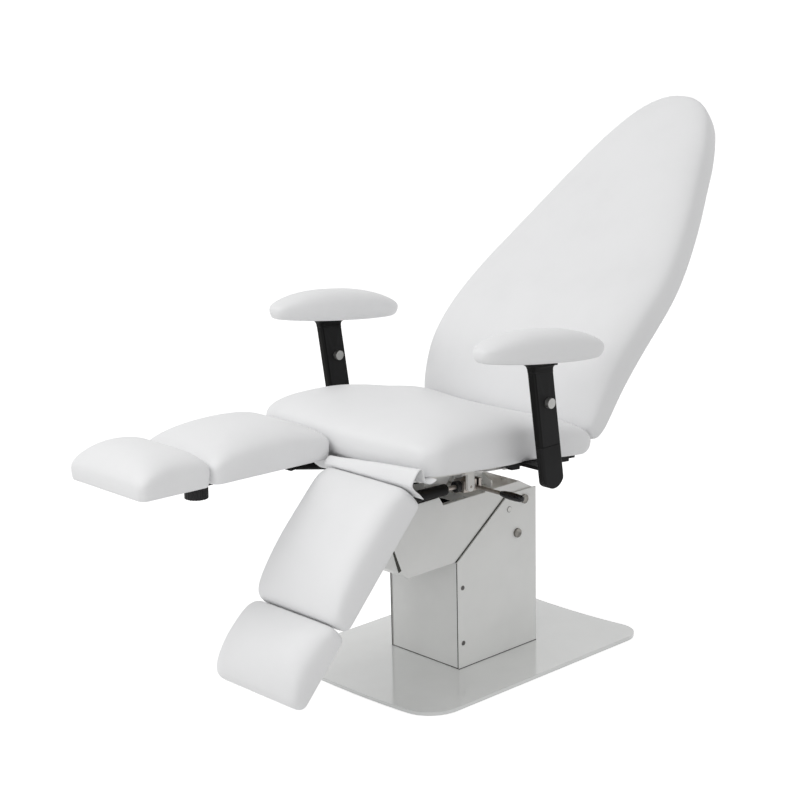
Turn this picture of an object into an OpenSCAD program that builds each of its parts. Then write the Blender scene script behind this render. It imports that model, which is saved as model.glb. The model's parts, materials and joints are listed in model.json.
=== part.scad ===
// Podiatry chair: lifting column, reclining back, two split leg rests, two arm rests.
// Frame: x across (patient's left is +x), front is -y, z up, origin on the floor under the column.

/* [Base] */
// Width of the base plate
base_w = 492; // [460:2:560]
// Length of the base plate on its centre line
base_l = 662; // [640:2:760]
// Thickness of the base plate
base_t = 8; // [6:1:12]
// Radius of the two front corners
base_front_r = 78; // [50:2:90]
// Radius of the two rear corners
base_rear_r = 54; // [40:2:64]
// Rise of the bowed front edge
base_front_bow = 15; // [8:1:24]
// Depth of the hollow rear edge
base_rear_bow = 22; // [12:1:30]

/* [Column] */
// Width over the side panels
column_w = 210; // [200:1:230]
// Depth of the column
column_d = 242; // [236:1:256]
// Height of the top edge of the side panels
column_h = 365; // [363:1:367]
// Thickness of the side panels
panel_t = 3; // [2:0.5:4]
// Height where the slanted front edge starts
column_slant_z = 249; // [240:1:256]
// Distance from the front face to the top end of the slant
column_slant_y = 158; // [150:1:162]

/* [Lift] */
// Length of the lift arms, pin to pin
arm_l = 250; // [240:1:252]
// Diameter of the lift pins
lift_pin_d = 16; // [12:1:18]
// Thickness of the hood sheet
hood_t = 2; // [1.5:0.5:2.5]

/* [Seat] */
// Width of the seat cushion
seat_w = 522; // [500:2:530]
// Length of the seat cushion
seat_l = 501; // [498:1:504]
// Greatest thickness of the seat cushion
seat_t = 106; // [98:1:112]
// Rise of the seat board's top over the column
seat_rise = 112.4; // [109:0.2:117]
// Backward tilt of the seat
seat_tilt = 5.8; // [5.4:0.1:6.2]

/* [Backrest] */
// Length of the backrest cushion
back_l = 880; // [860:1:890]
// Greatest width of the backrest cushion
back_w = 544; // [500:2:560]
// Thickness of the backrest cushion
back_t = 93; // [85:1:96]
// Angle of the backrest over the horizontal
back_angle = 45; // [44:0.5:46]

/* [Leg rests] */
// Width of each leg cushion
leg_w = 244; // [230:1:246]
// Distance from the middle of the chair to the middle of a leg cushion
leg_x = 126; // [124:1:130]
// Length of the calf cushion
calf_l = 299; // [285:1:310]
// Length of the foot cushion
foot_l = 169; // [156:1:176]
// Thickness of the calf cushions
leg_t = 86; // [80:1:92]
// Thickness of the foot cushions
foot_t = 79; // [74:1:84]
// Rise of a raised leg rest over the horizontal
leg_rise_angle = 1.5; // [0:0.5:2]
// Angle by which the left leg rest hangs below the raised one
left_leg_angle = 48.5; // [40:0.5:50]
// Rise of the leg rest hinge over the column
leg_hinge_rise = 132; // [129:0.5:133]

/* [Arm rests] */
// Distance from the side of the seat cushion to the middle of an arm post
arm_gap = 55; // [51:1:65]
// Length of the arm pads
pad_l = 354; // [330:2:380]
// Width of the arm pads
pad_w = 92; // [80:1:100]
// Thickness of the arm pads
pad_t = 61; // [50:1:66]
// Width of the arm post, front to rear
post_w = 58; // [54:1:64]
// Thickness of the arm post
post_t = 20; // [18:1:22]
// Height of the sleeve from its seam to the pad
sleeve_l = 172; // [150:1:180]
// Forward lean of the arm posts
post_lean = 8; // [6:0.2:10]
// Front-up tilt of the arm pads
pad_tilt = 6; // [5:0.1:8]

/* [Hidden] */
// Clearances: plain gaps, running fits, soft parts, cut overruns
gap = 1;
fit = 0.05;
soft_gap = 0.6;
over = 1;
round_fn = 64;
$fn = round_fn;

// Colours
steel = "silver";
dark = "#26262a";
paint = "#c9cac8";
vinyl = "#e9e9ea";

// Base and column places
base_y0 = -350;
base_y1 = base_y0 + base_l;
column_x = column_w / 2;
column_y = column_d / 2;
panel_in_x = column_x - panel_t;
slant_top_y = -column_y + column_slant_y;
slant_top_z = column_h;
hole_d = 9;
pin_a = [61, column_h - 92];
pin_b = [83, column_h - 20];
plug_at = [38, column_h - 34];
side_screw_y = -106;
side_screw_z = [65, 190];
screw_head_d = 9;
screw_head_h = 1.2;
screw_d = 5;
pin_head_d = 20;
pin_head_h = 5;

// Column frame
cheek_t = 6;
cheek_x = 86;
cheek_in = cheek_x - cheek_t;
cheek_front = -100;
cheek_rear = 105;
cheek_step_z = 240;
cheek_top_z = column_h - 6;
flange_w = 34;
flange_t = 6;
front_panel_t = 2;
front_panel_in = 2;
rear_panel_h = 238;
post_leg = 14;

// Lift arms
arm_t = 6;
arm_h = 34;
lower_arm_x = 65;
upper_arm_x = 77;
cross_d = 28;
lug_r = 80;
lug_a = 15;
lug_t = 6;
lug_in = 11;
lug_pin_d = 12;
arm_sleeve_d = 26;

// Lift actuator
act_foot = [40, 60];
act_body_d = 46;
act_body_l = 118;
act_rod_d = 22;
act_eye_d = 36;
act_eye_bore = 22;
act_eye_w = 18;
act_foot_d = 30;

// Carrier and hood
carrier_top = column_h + 15;
carrier_top_t = 4;
hood_out_x = 100.5;
hood_top = carrier_top + carrier_top_t + hood_t;
hood_bottom = column_h - 115;
hood_wall_end = 40;
hood_slot_y = [-166, -154];
hood_front_rise = column_h + 38;
hood_plate_y = [-30, 74];
hood_rear_y = 118;
hood_rear_top = column_h - 4;
hood_strip_z = column_h - 4;
hood_front_low_y = -259;
hood_front_bend = [-281, column_h - 97];
hood_front_top_y = -324;
hood_screw_at = [69, 58];
riser_x = [34, 56];
riser_y = [-64, -31];
riser_top = carrier_top + 46;

// Seat frame places, in the tilted seat frame
seat_z = column_h + seat_rise;
leg_hinge_z = column_h + leg_hinge_rise;
board_t = 9;
rail_h = 30;
front_rail_h = 22;
rail_w = 20;
rail_x = 120;
rail_y0 = -286;
rail_y1 = 151;
rail_drop_y = [-262, -230];
cross_w = 24;
cross_rows = [-205, -30, 96];
spring_cross_y = -126;
strap_t = 4;
strap_rows = [-94, 56];
pan_y = [-202, -142, -116];
pan_drop = 57;
pan_x = 98;
pan_t = 3;
board_y0 = -262;
board_y1 = 128;
board_x = seat_w / 2 - 65;
back_pin_at = [142, -24];
back_pin_d = 10;
seat_y1 = 150;
seat_y0 = seat_y1 - seat_l;
seat_mid_y = seat_y1 - seat_l / 2;

// Leg rest places
leg_hinge_y = -310;
hinge_tube_d = 17;
hinge_rod_d = 10;
knuckle_w = 60;
calf_s0 = 50;
leg_gap = 3;
foot_s0 = calf_s0 + calf_l + leg_gap;
cushion_w0 = 10;
leg_rail_x = 44;
leg_rail_w = 16;
leg_rail_h = 20;
leg_rail_s1 = 322;
slide_w = 10;
slide_h = 14;
slide_s0 = 190;
knob_s = 304;
knob_d = 48;
knob_h = 25;
knob_top = -22;
spring_x = 118;
spring_lug = [72, -20];
spring_head = [-111, column_h + 57];
spring_pin_d = 6;
spring_eye_bore = 16;
spring_body_d = 24;
spring_body_l = 178;
spring_rod_d = 10;
spring_dive = 54;
lever_set = 6;
grip_l = 62;
lever_l = 68;

// Backrest places, in the leaning backrest frame
back_y = 101;
back_z = column_h + 135;
back_n0 = -38;
back_v0 = 24;
back_board_t = 9;
back_rail_x = 98;
back_rail_w = 18;
back_rail_h = 20;
back_rail_l = 560;
lift_spring_lever = [14, 38.5];

// Arm rest places
arm_x = seat_w / 2 + arm_gap;
post_foot = [-69, column_h + 172];
post_edge_r = 6;
stub_drop = 92;
inner_post_t = 14;
inner_post_w = 50;
inner_post_l = 150;
groove_w = 24;
groove_t = 4;
button_d = 21;
button_h = 10;
button_at = [3, 91];
pad_x = arm_x - post_t / 2;
pad_at = [-82, column_h + 345];
bracket_bar_y = [-108, 98];
bracket_bar_x = [seat_w / 2 - 59, seat_w / 2 - 21];
bracket_bar_t = 7;
bracket_arm_y = [-66, -34];

// Shape helpers

// Cylinder along x, centred
module x_rod(d, l) rotate([0, 90, 0]) cylinder(d = d, h = l, center = true);

// Cylinder along y, centred
module y_rod(d, l) rotate([90, 0, 0]) cylinder(d = d, h = l, center = true);

// Plate with an outline in the y-z plane, from x0 to x0 + t
module side_plate(x0, t) translate([x0, 0, 0]) rotate([90, 0, 90]) linear_extrude(height = t) children();

// Mirrored pair across the middle plane
module both_sides() {
  children();
  mirror([1, 0, 0]) children();
}

// Box given by its low and high corners
module span_box(a, b) translate(a) cube(b - a);

// Frames of the moving sections
module seat_axes() translate([0, 0, seat_z]) rotate([-seat_tilt, 0, 0]) children();
module back_axes() translate([0, back_y, back_z]) rotate([back_angle, 0, 0]) children();
module leg_axes(side, drop) {
  translate([side * leg_x, leg_hinge_y, leg_hinge_z]) rotate([drop - leg_rise_angle, 0, 0]) children();
}
module post_axes(side) {
  translate([side * arm_x, post_foot[0], post_foot[1]]) rotate([post_lean, 0, 0]) children();
}
function leg_drop(side) = side > 0 ? left_leg_angle : 0;
function turned(p, a) = [p[0] * cos(a) - p[1] * sin(a), p[0] * sin(a) + p[1] * cos(a)];

function sign_pow(v, p) = sign(v) * pow(abs(v), p);
function oval_outline(a, b, p, steps) =
  [for (i = [0:steps - 1]) let (t = 360 * i / steps)
    [a * sign_pow(cos(t), 2 / p), b * sign_pow(sin(t), 2 / p)]];

// Cushion form: rings of one outline from the board edge round the waist and over a domed top
arc_steps = 5;
side_steps = 5;
lower_turns = 2;
upper_turns = 7;
waist_share = 0.42;
function rounded_outline(a, b, r, c) = [for (q = [0:3], k = [0:arc_steps + side_steps])
  let (sx = q == 0 || q == 3 ? 1 : -1, sy = q < 2 ? 1 : -1,
       m = c + [sx * (a - r), sy * (b - r)],
       n = c + (q % 2 == 0 ? [-sx * (a - r), sy * (b - r)] : [sx * (a - r), -sy * (b - r)]),
       t = 90 * (q + min(k, arc_steps) / arc_steps))
  let (p = m + r * [cos(t), sin(t)], e = n + r * [cos(90 * (q + 1)), sin(90 * (q + 1))],
       u = max(k - arc_steps, 0) / (side_steps + 1)) p * (1 - u) + e * u];
function bowed(o, c, b, bow) = [for (p = o) p[1] < c[1] ? [p[0], p[1] - bow * (1 - pow(p[0] / b, 2))] : p];
function inward(o, i) =
  let (n = len(o), q = o[(i + 1) % n] - o[(i + n - 1) % n]) [-q[1], q[0]] / norm(q);
function inset_ring(o, d) = [for (i = [0:len(o) - 1]) o[i] + inward(o, i) * d];
function ring_at(o, d, height, rise, bend) =
  [for (p = inset_ring(o, d)) [p[0], p[1], height(p) * rise + bend(p)]];
function shrunk_ring(o, c, share, height, bend) =
  [for (p = o) let (q = c + (p - c) * share) [q[0], q[1], height(q) + bend(q)]];
function flat(p) = 0;

function dome_ring(o, c, b, power, height, bend) =
  let (size = pow(cos(b), 2 / power), rise = waist_share + (1 - waist_share) * pow(sin(b), 2 / power))
  [for (p = o) let (q = c + (p - c) * size) [q[0], q[1], height(q) * rise + bend(q)]];

module cushion_form(o, c, tuck, power, height, bend, under_shares = []) {
  n = len(o);
  level = function (p) 0;
  under = [for (s = under_shares) shrunk_ring(inset_ring(o, tuck), c, s, level, bend)];
  lower = [for (k = [0:lower_turns - 1]) let (b = 90 * (1 - k / lower_turns))
    ring_at(o, tuck * (1 - cos(b)), height, waist_share * (1 - sin(b)), bend)];
  upper = [for (k = [0:upper_turns - 1]) dome_ring(o, c, 90 * k / upper_turns, power, height, bend)];
  rings = concat(under, lower, upper);
  rows = len(rings);
  points = concat([for (r = rings) each r], [[c[0], c[1], bend(c)], [c[0], c[1], height(c) + bend(c)]]);
  sides = [for (k = [0:rows - 2], i = [0:n - 1]) let (j = (i + 1) % n, a = k * n, b = (k + 1) * n)
    each [[a + i, b + i, a + j], [a + j, b + i, b + j]]];
  foot = [for (i = [0:n - 1]) [i, (i + 1) % n, rows * n]];
  top = [for (i = [0:n - 1]) [(rows - 1) * n + i, rows * n + 1, (rows - 1) * n + (i + 1) % n]];
  polyhedron(points, concat(sides, foot, top), convexity = 4);
}

// Base

arc_turns = 12;
function arc_points(c, r, a0, a1) = [for (k = [0:arc_turns]) let (a = a0 + (a1 - a0) * k / arc_turns)
  c + r * [cos(a), sin(a)]];
function right_outline() =
  let (half = base_w / 2,
       front_r = (half * half + base_front_bow * base_front_bow) / (2 * base_front_bow),
       rear_r = (half * half + base_rear_bow * base_rear_bow) / (2 * base_rear_bow),
       front_x = half - base_front_r,
       rear_x = half - base_rear_r,
       front_a = asin(front_x / (front_r - base_front_r)),
       rear_a = asin(rear_x / (rear_r + base_rear_r)),
       bow = [0, base_y0 + front_r],
       hollow = [0, base_y1 + rear_r],
       front = [front_x, bow[1] - (front_r - base_front_r) * cos(front_a)],
       rear = [rear_x, hollow[1] - (rear_r + base_rear_r) * cos(rear_a)])
  concat([for (q = arc_points(bow, front_r, -90, front_a - 90)) q],
    [for (k = [1:arc_turns]) arc_points(front, base_front_r, front_a - 90, 0)[k]],
    arc_points(rear, base_rear_r, 0, 90 + rear_a),
    [for (k = [1:arc_turns]) arc_points(hollow, rear_r, rear_a - 90, -90)[k]]);
module base_outline() {
  right = right_outline();
  n = len(right);
  polygon(concat(right, [for (k = [n - 2:-1:1]) [-right[k][0], right[k][1]]]));
}

module base_plate() color(paint) linear_extrude(height = base_t) base_outline();

module column_frame() color(dark) {
  tops = [[cheek_front, base_t], [cheek_rear, base_t], [cheek_rear, cheek_top_z],
    [pin_b[0] - arm_sleeve_d, cheek_top_z], [pin_a[0] - arm_sleeve_d, pin_a[1]],
    [pin_a[0] - 2 * arm_sleeve_d, cheek_step_z], [cheek_front, cheek_step_z]];
  difference() {
    union() {
      both_sides() {
        side_plate(cheek_in, cheek_t) polygon(tops);
        for (s = side_screw_z)
          span_box([cheek_x, -column_y + front_panel_in + front_panel_t, s - post_leg],
            [panel_in_x, side_screw_y + post_leg / 2, s + post_leg]);
        span_box([cheek_x, cheek_rear - post_leg, base_t], [panel_in_x, cheek_rear, cheek_step_z]);
      }
      span_box([-cheek_in, cheek_rear - cheek_t, base_t], [cheek_in, cheek_rear, cheek_step_z]);
      span_box([-cheek_in, cheek_front, base_t], [cheek_in, cheek_front + flange_w, base_t + flange_t]);
      span_box([-cheek_in, act_foot[0] - act_foot_d / 2, base_t],
        [cheek_in, act_foot[0] + act_foot_d / 2, base_t + flange_t]);
      for (s = [-1, 1]) translate([s * (act_eye_w / 2 + lug_t / 2 + gap / 2), 0, 0]) {
        translate([0, act_foot[0], act_foot[1]]) x_rod(act_foot_d, lug_t);
        span_box([-lug_t / 2, act_foot[0] - act_foot_d / 2, base_t],
          [lug_t / 2, act_foot[0] + act_foot_d / 2, act_foot[1]]);
      }
    }
    for (p = [pin_a, pin_b]) translate([0, p[0], p[1]]) x_rod(lift_pin_d + 2 * fit, column_w);
    for (s = side_screw_z) translate([0, side_screw_y, s]) x_rod(screw_d + 2 * fit, column_w);
  }
  translate([0, act_foot[0], act_foot[1]]) x_rod(lug_pin_d, act_eye_w + 2 * lug_t);
}

module side_panel() {
  difference() {
    side_plate(panel_in_x, panel_t) polygon([[-column_y, base_t], [column_y, base_t],
      [column_y, column_h], [slant_top_y, slant_top_z], [-column_y, column_slant_z]]);
    for (p = [pin_a, pin_b]) translate([column_x, p[0], p[1]]) x_rod(lift_pin_d + 2 * fit, column_w / 2);
    for (s = side_screw_z) translate([column_x, side_screw_y, s]) x_rod(screw_d + 2 * fit, column_w / 2);
    translate([column_x, plug_at[0], plug_at[1]]) x_rod(hole_d + 2 * fit, column_w / 2);
  }
}

module left_side_panel() color(paint) side_panel();
module right_side_panel() color(paint) mirror([1, 0, 0]) side_panel();

module front_panel() color(paint) {
  half = panel_in_x - gap;
  span_box([-half, -column_y + front_panel_in, base_t],
    [half, -column_y + front_panel_in + front_panel_t, column_slant_z - front_panel_in]);
}

inlet_w = 28;
inlet_h = 20;
inlet_z = 52;
module rear_panel() color(paint) difference() {
  span_box([-panel_in_x + gap, column_y - front_panel_t, base_t],
    [panel_in_x - gap, column_y, base_t + rear_panel_h]);
  span_box([-inlet_w / 2 - fit, 0, inlet_z - inlet_h / 2 - fit],
    [inlet_w / 2 + fit, column_d, inlet_z + inlet_h / 2 + fit]);
}

module screw_x() {
  translate([column_x + screw_head_h / 2, 0, 0]) x_rod(screw_head_d, screw_head_h);
  translate([(column_x + cheek_x) / 2, 0, 0]) x_rod(screw_d, column_x - cheek_x);
}

module panel_screws() color(steel) both_sides()
  for (s = side_screw_z) translate([0, side_screw_y, s]) screw_x();

module lift_pivot_pins() color(steel) for (p = [pin_a, pin_b]) translate([0, p[0], p[1]]) {
  x_rod(lift_pin_d, column_w);
  both_sides() translate([column_x + pin_head_h / 2, 0, 0]) x_rod(pin_head_d, pin_head_h);
}

module hole_plugs() color(paint) both_sides() translate([column_x, plug_at[0], plug_at[1]]) {
  translate([screw_head_h / 2, 0, 0]) x_rod(hole_d + 2 * screw_head_h, screw_head_h);
  translate([-panel_t / 2, 0, 0]) x_rod(hole_d, panel_t);
}

inlet_depth = 10;
inlet_flange = 4;
module power_inlet() color(dark) difference() {
  union() {
    span_box([-inlet_w / 2, column_y - front_panel_t, inlet_z - inlet_h / 2],
      [inlet_w / 2, column_y, inlet_z + inlet_h / 2]);
    span_box([-inlet_w / 2, column_y - front_panel_t - inlet_depth, inlet_z - inlet_h / 2],
      [inlet_w / 2, column_y - front_panel_t, inlet_z + inlet_h / 2]);
    span_box([-inlet_w / 2 - inlet_flange, column_y, inlet_z - inlet_h / 2 - inlet_flange],
      [inlet_w / 2 + inlet_flange, column_y + inlet_flange / 2, inlet_z + inlet_h / 2 + inlet_flange]);
  }
  span_box([-inlet_w / 2 + inlet_flange, column_y - inlet_depth, inlet_z - inlet_h / 2 + inlet_flange],
    [inlet_w / 2 - inlet_flange, column_y + inlet_depth, inlet_z + inlet_h / 2 - inlet_flange]);
}

box_w = 110;
box_d = 48;
box_h = 84;
module control_box() color(dark) {
  floor_z = base_t + flange_t;
  span_box([-box_w / 2, cheek_front + gap, floor_z], [box_w / 2, cheek_front + gap + box_d, floor_z + box_h]);
}

// Lift

lift_lug_at = pin_a + lug_r * [-cos(lug_a), -sin(lug_a)];
act_l = norm(lift_lug_at - act_foot);
act_lean = atan2(act_foot[0] - lift_lug_at[0], lift_lug_at[1] - act_foot[1]);
module actuator_axes() translate([0, act_foot[0], act_foot[1]]) rotate([act_lean, 0, 0]) children();

module actuator_body() color(dark) actuator_axes() difference() {
  union() {
    x_rod(act_foot_d - 2 * gap, act_eye_w);
    cylinder(d = act_eye_w, h = act_foot_d);
    translate([0, 0, act_foot_d]) cylinder(d = act_body_d, h = act_body_l - act_foot_d);
  }
  x_rod(lug_pin_d + 2 * fit, act_body_d);
  translate([0, 0, act_foot_d + gap]) cylinder(d = act_rod_d + 2 * fit, h = act_body_l);
}

module actuator_rod() color(steel) actuator_axes() difference() {
  union() {
    translate([0, 0, act_foot_d + 2 * gap])
      cylinder(d = act_rod_d, h = act_l - act_foot_d - act_eye_bore / 2 - 2 * gap);
    translate([0, 0, act_l]) x_rod(act_eye_d, act_eye_w);
  }
  translate([0, 0, act_l]) x_rod(act_eye_bore, act_body_d);
}

module arm_plate(x_out, p) translate([0, p[0], p[1]]) difference() {
  union() {
    span_box([x_out - arm_t, -arm_l, -arm_h / 2], [x_out, 0, arm_h / 2]);
    for (y = [0, -arm_l]) translate([x_out - arm_t / 2, y, 0]) x_rod(arm_h, arm_t);
  }
  for (y = [0, -arm_l]) translate([x_out, y, 0]) x_rod(lift_pin_d + 2 * fit, 2 * column_w);
}

module lower_lift_arm() color(dark) {
  at = [0, pin_a[0] - arm_l / 2, pin_a[1]];
  both_sides() arm_plate(lower_arm_x, pin_a);
  translate(at) x_rod(cross_d, 2 * (lower_arm_x - arm_t));
  for (s = [-1, 1]) translate([s * (lug_in + lug_t / 2), 0, 0]) {
    translate([0, lift_lug_at[0], lift_lug_at[1]]) x_rod(arm_h - gap, lug_t);
    span_box([-lug_t / 2, at[1], lift_lug_at[1] - arm_h / 2 + gap],
      [lug_t / 2, lift_lug_at[0], pin_a[1] + cross_d / 2 - gap]);
  }
  translate([0, lift_lug_at[0], lift_lug_at[1]]) x_rod(lug_pin_d, 2 * (lug_in + lug_t));
}

module upper_lift_arm() color(dark) {
  both_sides() arm_plate(upper_arm_x, pin_b);
  translate([0, pin_b[0] - arm_l / 2, pin_b[1]]) x_rod(cross_d, 2 * (upper_arm_x - arm_t));
}

module carrier_frame() color(paint) {
  low = pin_a - [arm_l, 0];
  high = pin_b - [arm_l, 0];
  r = arm_sleeve_d;
  both_sides() difference() {
    side_plate(cheek_in, cheek_t) polygon([[low[0] - r, low[1] - r / 2], [low[0] + r, low[1] - r / 2],
      [hood_plate_y[0], cheek_top_z + hood_t], [hood_plate_y[1] - hood_t, cheek_top_z + hood_t],
      [hood_plate_y[1] - hood_t, carrier_top], [high[0] - r, carrier_top], [low[0] - r, high[1]]]);
    for (p = [low, high]) translate([0, p[0], p[1]]) x_rod(lift_pin_d + 2 * fit, column_w);
  }
  span_box([-hood_out_x + 2 * hood_t, -3 * r, carrier_top],
    [hood_out_x - 2 * hood_t, hood_plate_y[1] - hood_t, carrier_top + carrier_top_t]);
  for (y = [high[0] - r, -3 * r + 2 * gap]) span_box([-cheek_in, y, pin_b[1] + arm_h / 2 + gap],
    [cheek_in, y + cheek_t, carrier_top]);
  both_sides() span_box([riser_x[0], riser_y[0], carrier_top], [riser_x[1], riser_y[1], riser_top]);
}

module carrier_pins() color(steel) for (p = [pin_a, pin_b])
  translate([0, p[0] - arm_l, p[1]]) x_rod(lift_pin_d, 2 * cheek_x);

module hood() color(paint) {
  in_x = hood_out_x - hood_t;
  wall = [[hood_front_low_y, hood_bottom], [hood_wall_end, hood_bottom], [hood_wall_end, hood_strip_z],
    [hood_rear_y, hood_strip_z], [hood_plate_y[1], hood_top - hood_t], [hood_slot_y[1], hood_top - hood_t],
    [hood_slot_y[0], hood_front_rise], [hood_front_top_y - hood_t, hood_front_rise],
    [hood_front_top_y, hood_top - hood_t], hood_front_bend];
  both_sides() side_plate(in_x, hood_t) polygon(wall);
  side_plate(-hood_out_x, 2 * hood_out_x) polygon([[hood_plate_y[0], hood_top - hood_t],
    [hood_plate_y[0], hood_top], [hood_plate_y[1] + hood_t / 2, hood_top],
    [hood_rear_y, hood_rear_top + hood_t / 2],
    [hood_rear_y, hood_bottom + 2 * hood_t], [hood_rear_y - hood_t, hood_bottom + 2 * hood_t],
    [hood_rear_y - hood_t, hood_rear_top], [hood_plate_y[1], hood_top - hood_t]]);
  side_plate(-in_x, 2 * in_x) {
    polygon([hood_front_bend, [hood_front_bend[0] + 2 * hood_t, hood_front_bend[1] + hood_t],
      [hood_front_low_y, hood_bottom + hood_t], [hood_front_low_y, hood_bottom]]);
  }
  span_box([-in_x, hood_front_low_y, hood_bottom], [in_x, hood_front_low_y + flange_w, hood_bottom + hood_t]);
  difference() {
    side_plate(-in_x, 2 * in_x) polygon([hood_front_bend,
      [hood_front_bend[0] + 2 * hood_t, hood_front_bend[1]],
      [hood_front_top_y + 2 * hood_t, hood_top - hood_t], [hood_front_top_y, hood_top - hood_t]]);
    for (s = [-1, 1]) translate([s * (in_x - hood_slit_w / 2), 0, (hood_front_bend[1] + hood_top) / 2])
      cube([hood_slit_w, 4 * flange_w + hood_top, hood_top - hood_front_bend[1] - flange_w], center = true);
  }
}
hood_slit_w = 4;

module hood_screws() color(dark) both_sides()
  translate([hood_screw_at[0], hood_screw_at[1], hood_top]) cylinder(d = screw_head_d, h = 3 * screw_head_h);

bracket_x = 60;
bracket_y = [-29, 3];
bracket_top_y = 13;
bracket_t = 4;
gusset_w = 25;
gusset_h = 27;
module seat_brackets() color(paint) {
  difference() {
    both_sides() {
      side_plate(bracket_x - bracket_t, bracket_t) polygon([[bracket_y[0], hood_top],
        [bracket_y[1] + bracket_t, hood_top], [bracket_top_y, seat_z], [bracket_y[0], seat_z]]);
      translate([bracket_x, bracket_y[1] + bracket_t, hood_top]) rotate([90, 0, 0])
        linear_extrude(height = bracket_t)
          polygon([[0, 0], [gusset_w, 0], [gusset_w, gusset_h / 2], [0, gusset_h]]);
    }
    seat_axes() span_box([-seat_w, -seat_l, -board_t - rail_h], [seat_w, seat_l, seat_t]);
  }
}

// Seat

lug_offsets = [leg_x - knuckle_w / 2 - lug_t - gap, leg_x + knuckle_w / 2 + gap];
head_half_w = 15;

module seat_frame() color(paint) difference() {
  low = -board_t - rail_h;
  front_low = -board_t - front_rail_h;
  union() {
    seat_axes() {
      both_sides() {
        side_plate(rail_x - rail_w / 2, rail_w) polygon([[rail_y0, front_low], [rail_drop_y[0], front_low],
          [rail_drop_y[1], low], [rail_y1, low], [rail_y1, -board_t], [rail_y0, -board_t]]);
        side_plate(pan_x, pan_t) polygon([[pan_y[0], -board_t], [pan_y[0], -board_t - pan_drop],
          [pan_y[1], -board_t - pan_drop], [pan_y[2], low], [pan_y[2], -board_t]]);
      }
      span_box([-rail_x - 2 * rail_w - rail_w / 2, rail_y0, front_low],
        [rail_x + 2 * rail_w + rail_w / 2, rail_y0 + cross_w, -board_t]);
      for (y = cross_rows) span_box([-rail_x, y, low], [rail_x, y + cross_w, -board_t]);
      span_box([-spring_plate_x, spring_cross_y, low], [spring_plate_x, spring_cross_y + cross_w, -board_t]);
    }
    both_sides() for (x = lug_offsets) side_plate(x, lug_t) union() {
      translate([leg_hinge_y, leg_hinge_z]) circle(d = hinge_tube_d);
      translate([0, seat_z]) rotate(-seat_tilt) polygon([
        [rail_y0 + gap, -board_t], [rail_y0 + gap, front_low],
        [rail_y0 - rail_w, front_low + gap], [rail_y0 - cross_w, -rail_w], [rail_y0 - cross_w, -board_t]]);
    }
    both_sides() for (s = [-1, 1]) translate([spring_x + s * (head_half_w + lug_t / 2 + gap / 2), 0, 0])
      hanging_lug(spring_head, seat_z - board_t - rail_h + cross_w);
    for (s = [-1, 1]) translate([s * (back_eye_w / 2 + lug_t / 2 + gap / 2), 0, 0])
      hanging_lug(back_spring_foot, seat_z - board_t - rail_h + cross_w);
    translate([0, back_spring_foot[0], back_spring_foot[1]]) x_rod(spring_pin_d, back_eye_w + 2 * lug_t);
  }
  translate([0, leg_hinge_y, leg_hinge_z]) x_rod(hinge_rod_d + 2 * fit, seat_w);
  seat_axes() translate([0, back_pin_at[0], back_pin_at[1]]) x_rod(back_pin_d + 2 * fit, seat_w);
  both_sides() translate([spring_x, spring_head[0], spring_head[1]])
    x_rod(spring_pin_d + 2 * fit, 2 * (head_half_w + 2 * lug_t));
}
spring_plate_x = spring_x + head_half_w + 2 * gap + lug_t;
module hanging_lug(at, top_z) side_plate(-lug_t / 2, lug_t) union() {
  translate(at) circle(d = rail_w);
  translate([at[0] - rail_w / 2, at[1]]) square([rail_w, top_z - at[1]]);
}

module seat_board() color("burlywood") seat_axes()
  span_box([-board_x, board_y0, -board_t], [board_x, board_y1, 0]);

// Seat top: thick over the thighs, thinner to the rear, dished between its sides
seat_rear_share = 0.62;
seat_front_share = 0.22;
seat_dish = 12;
seat_corner_r = 46;
seat_bow = 6;
seat_tuck = 14;
seat_power = 3.6;
seat_peak_y = -175;
seat_rear_edge = 19;
seat_rear_slope = 0.816;
seat_corner_rise = 26;
function seat_height(p) = min(seat_crown(p), seat_rear_edge + seat_rear_slope * (seat_y1 - p[1])
  + seat_corner_rise * pow(abs(p[0]) * 2 / seat_w, 6));
function seat_crown(p) =
  let (u = (p[1] - seat_peak_y) / (p[1] < seat_peak_y ? seat_peak_y - seat_y0 : seat_y1 - seat_peak_y),
       drop = p[1] < seat_peak_y ? seat_front_share * u * u : (1 - seat_rear_share) * pow(u, 1.7),
       side = pow(abs(p[0]) * 2 / seat_w, 2),
       hollow = p[1] < seat_peak_y ? 0 : u)
  seat_t * (1 - drop) - seat_dish * hollow * (1 - side);

module seat_cushion() color(vinyl) seat_axes() cushion_form(
  bowed(rounded_outline(seat_w / 2, seat_l / 2, seat_corner_r, [0, seat_mid_y]),
    [0, seat_mid_y], seat_w / 2, seat_bow),
  [0, seat_mid_y], seat_tuck, seat_power, function (p) seat_height(p), function (p) flat(p));

module leg_hinge_shaft() color(steel) both_sides()
  translate([leg_x, leg_hinge_y, leg_hinge_z]) x_rod(hinge_rod_d, knuckle_w + 2 * lug_t + 4 * gap);

hook_d = 4;
hook_x = seat_w / 2 - 43;
hook_half_w = 10;
hook_y = [-166, -96];
hook_clamp_l = 10;
module handset_hook() color(steel) seat_axes() translate([hook_x, 0, -bracket_bar_t - hook_d / 2]) {
  for (s = [-1, 1]) translate([s * hook_half_w, 0, 0]) along_y(hook_d, hook_y[0], hook_y[1]);
  translate([0, hook_y[0], 0]) rotate([0, 0, 180]) rotate_extrude(angle = 180)
    translate([hook_half_w, 0]) circle(d = hook_d);
  span_box([-hook_half_w - hook_d, bracket_bar_y[0], -hook_d / 2 - gap],
    [hook_half_w + hook_d, bracket_bar_y[0] + hook_clamp_l, hook_d / 2]);
}

// Arm rests

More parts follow.
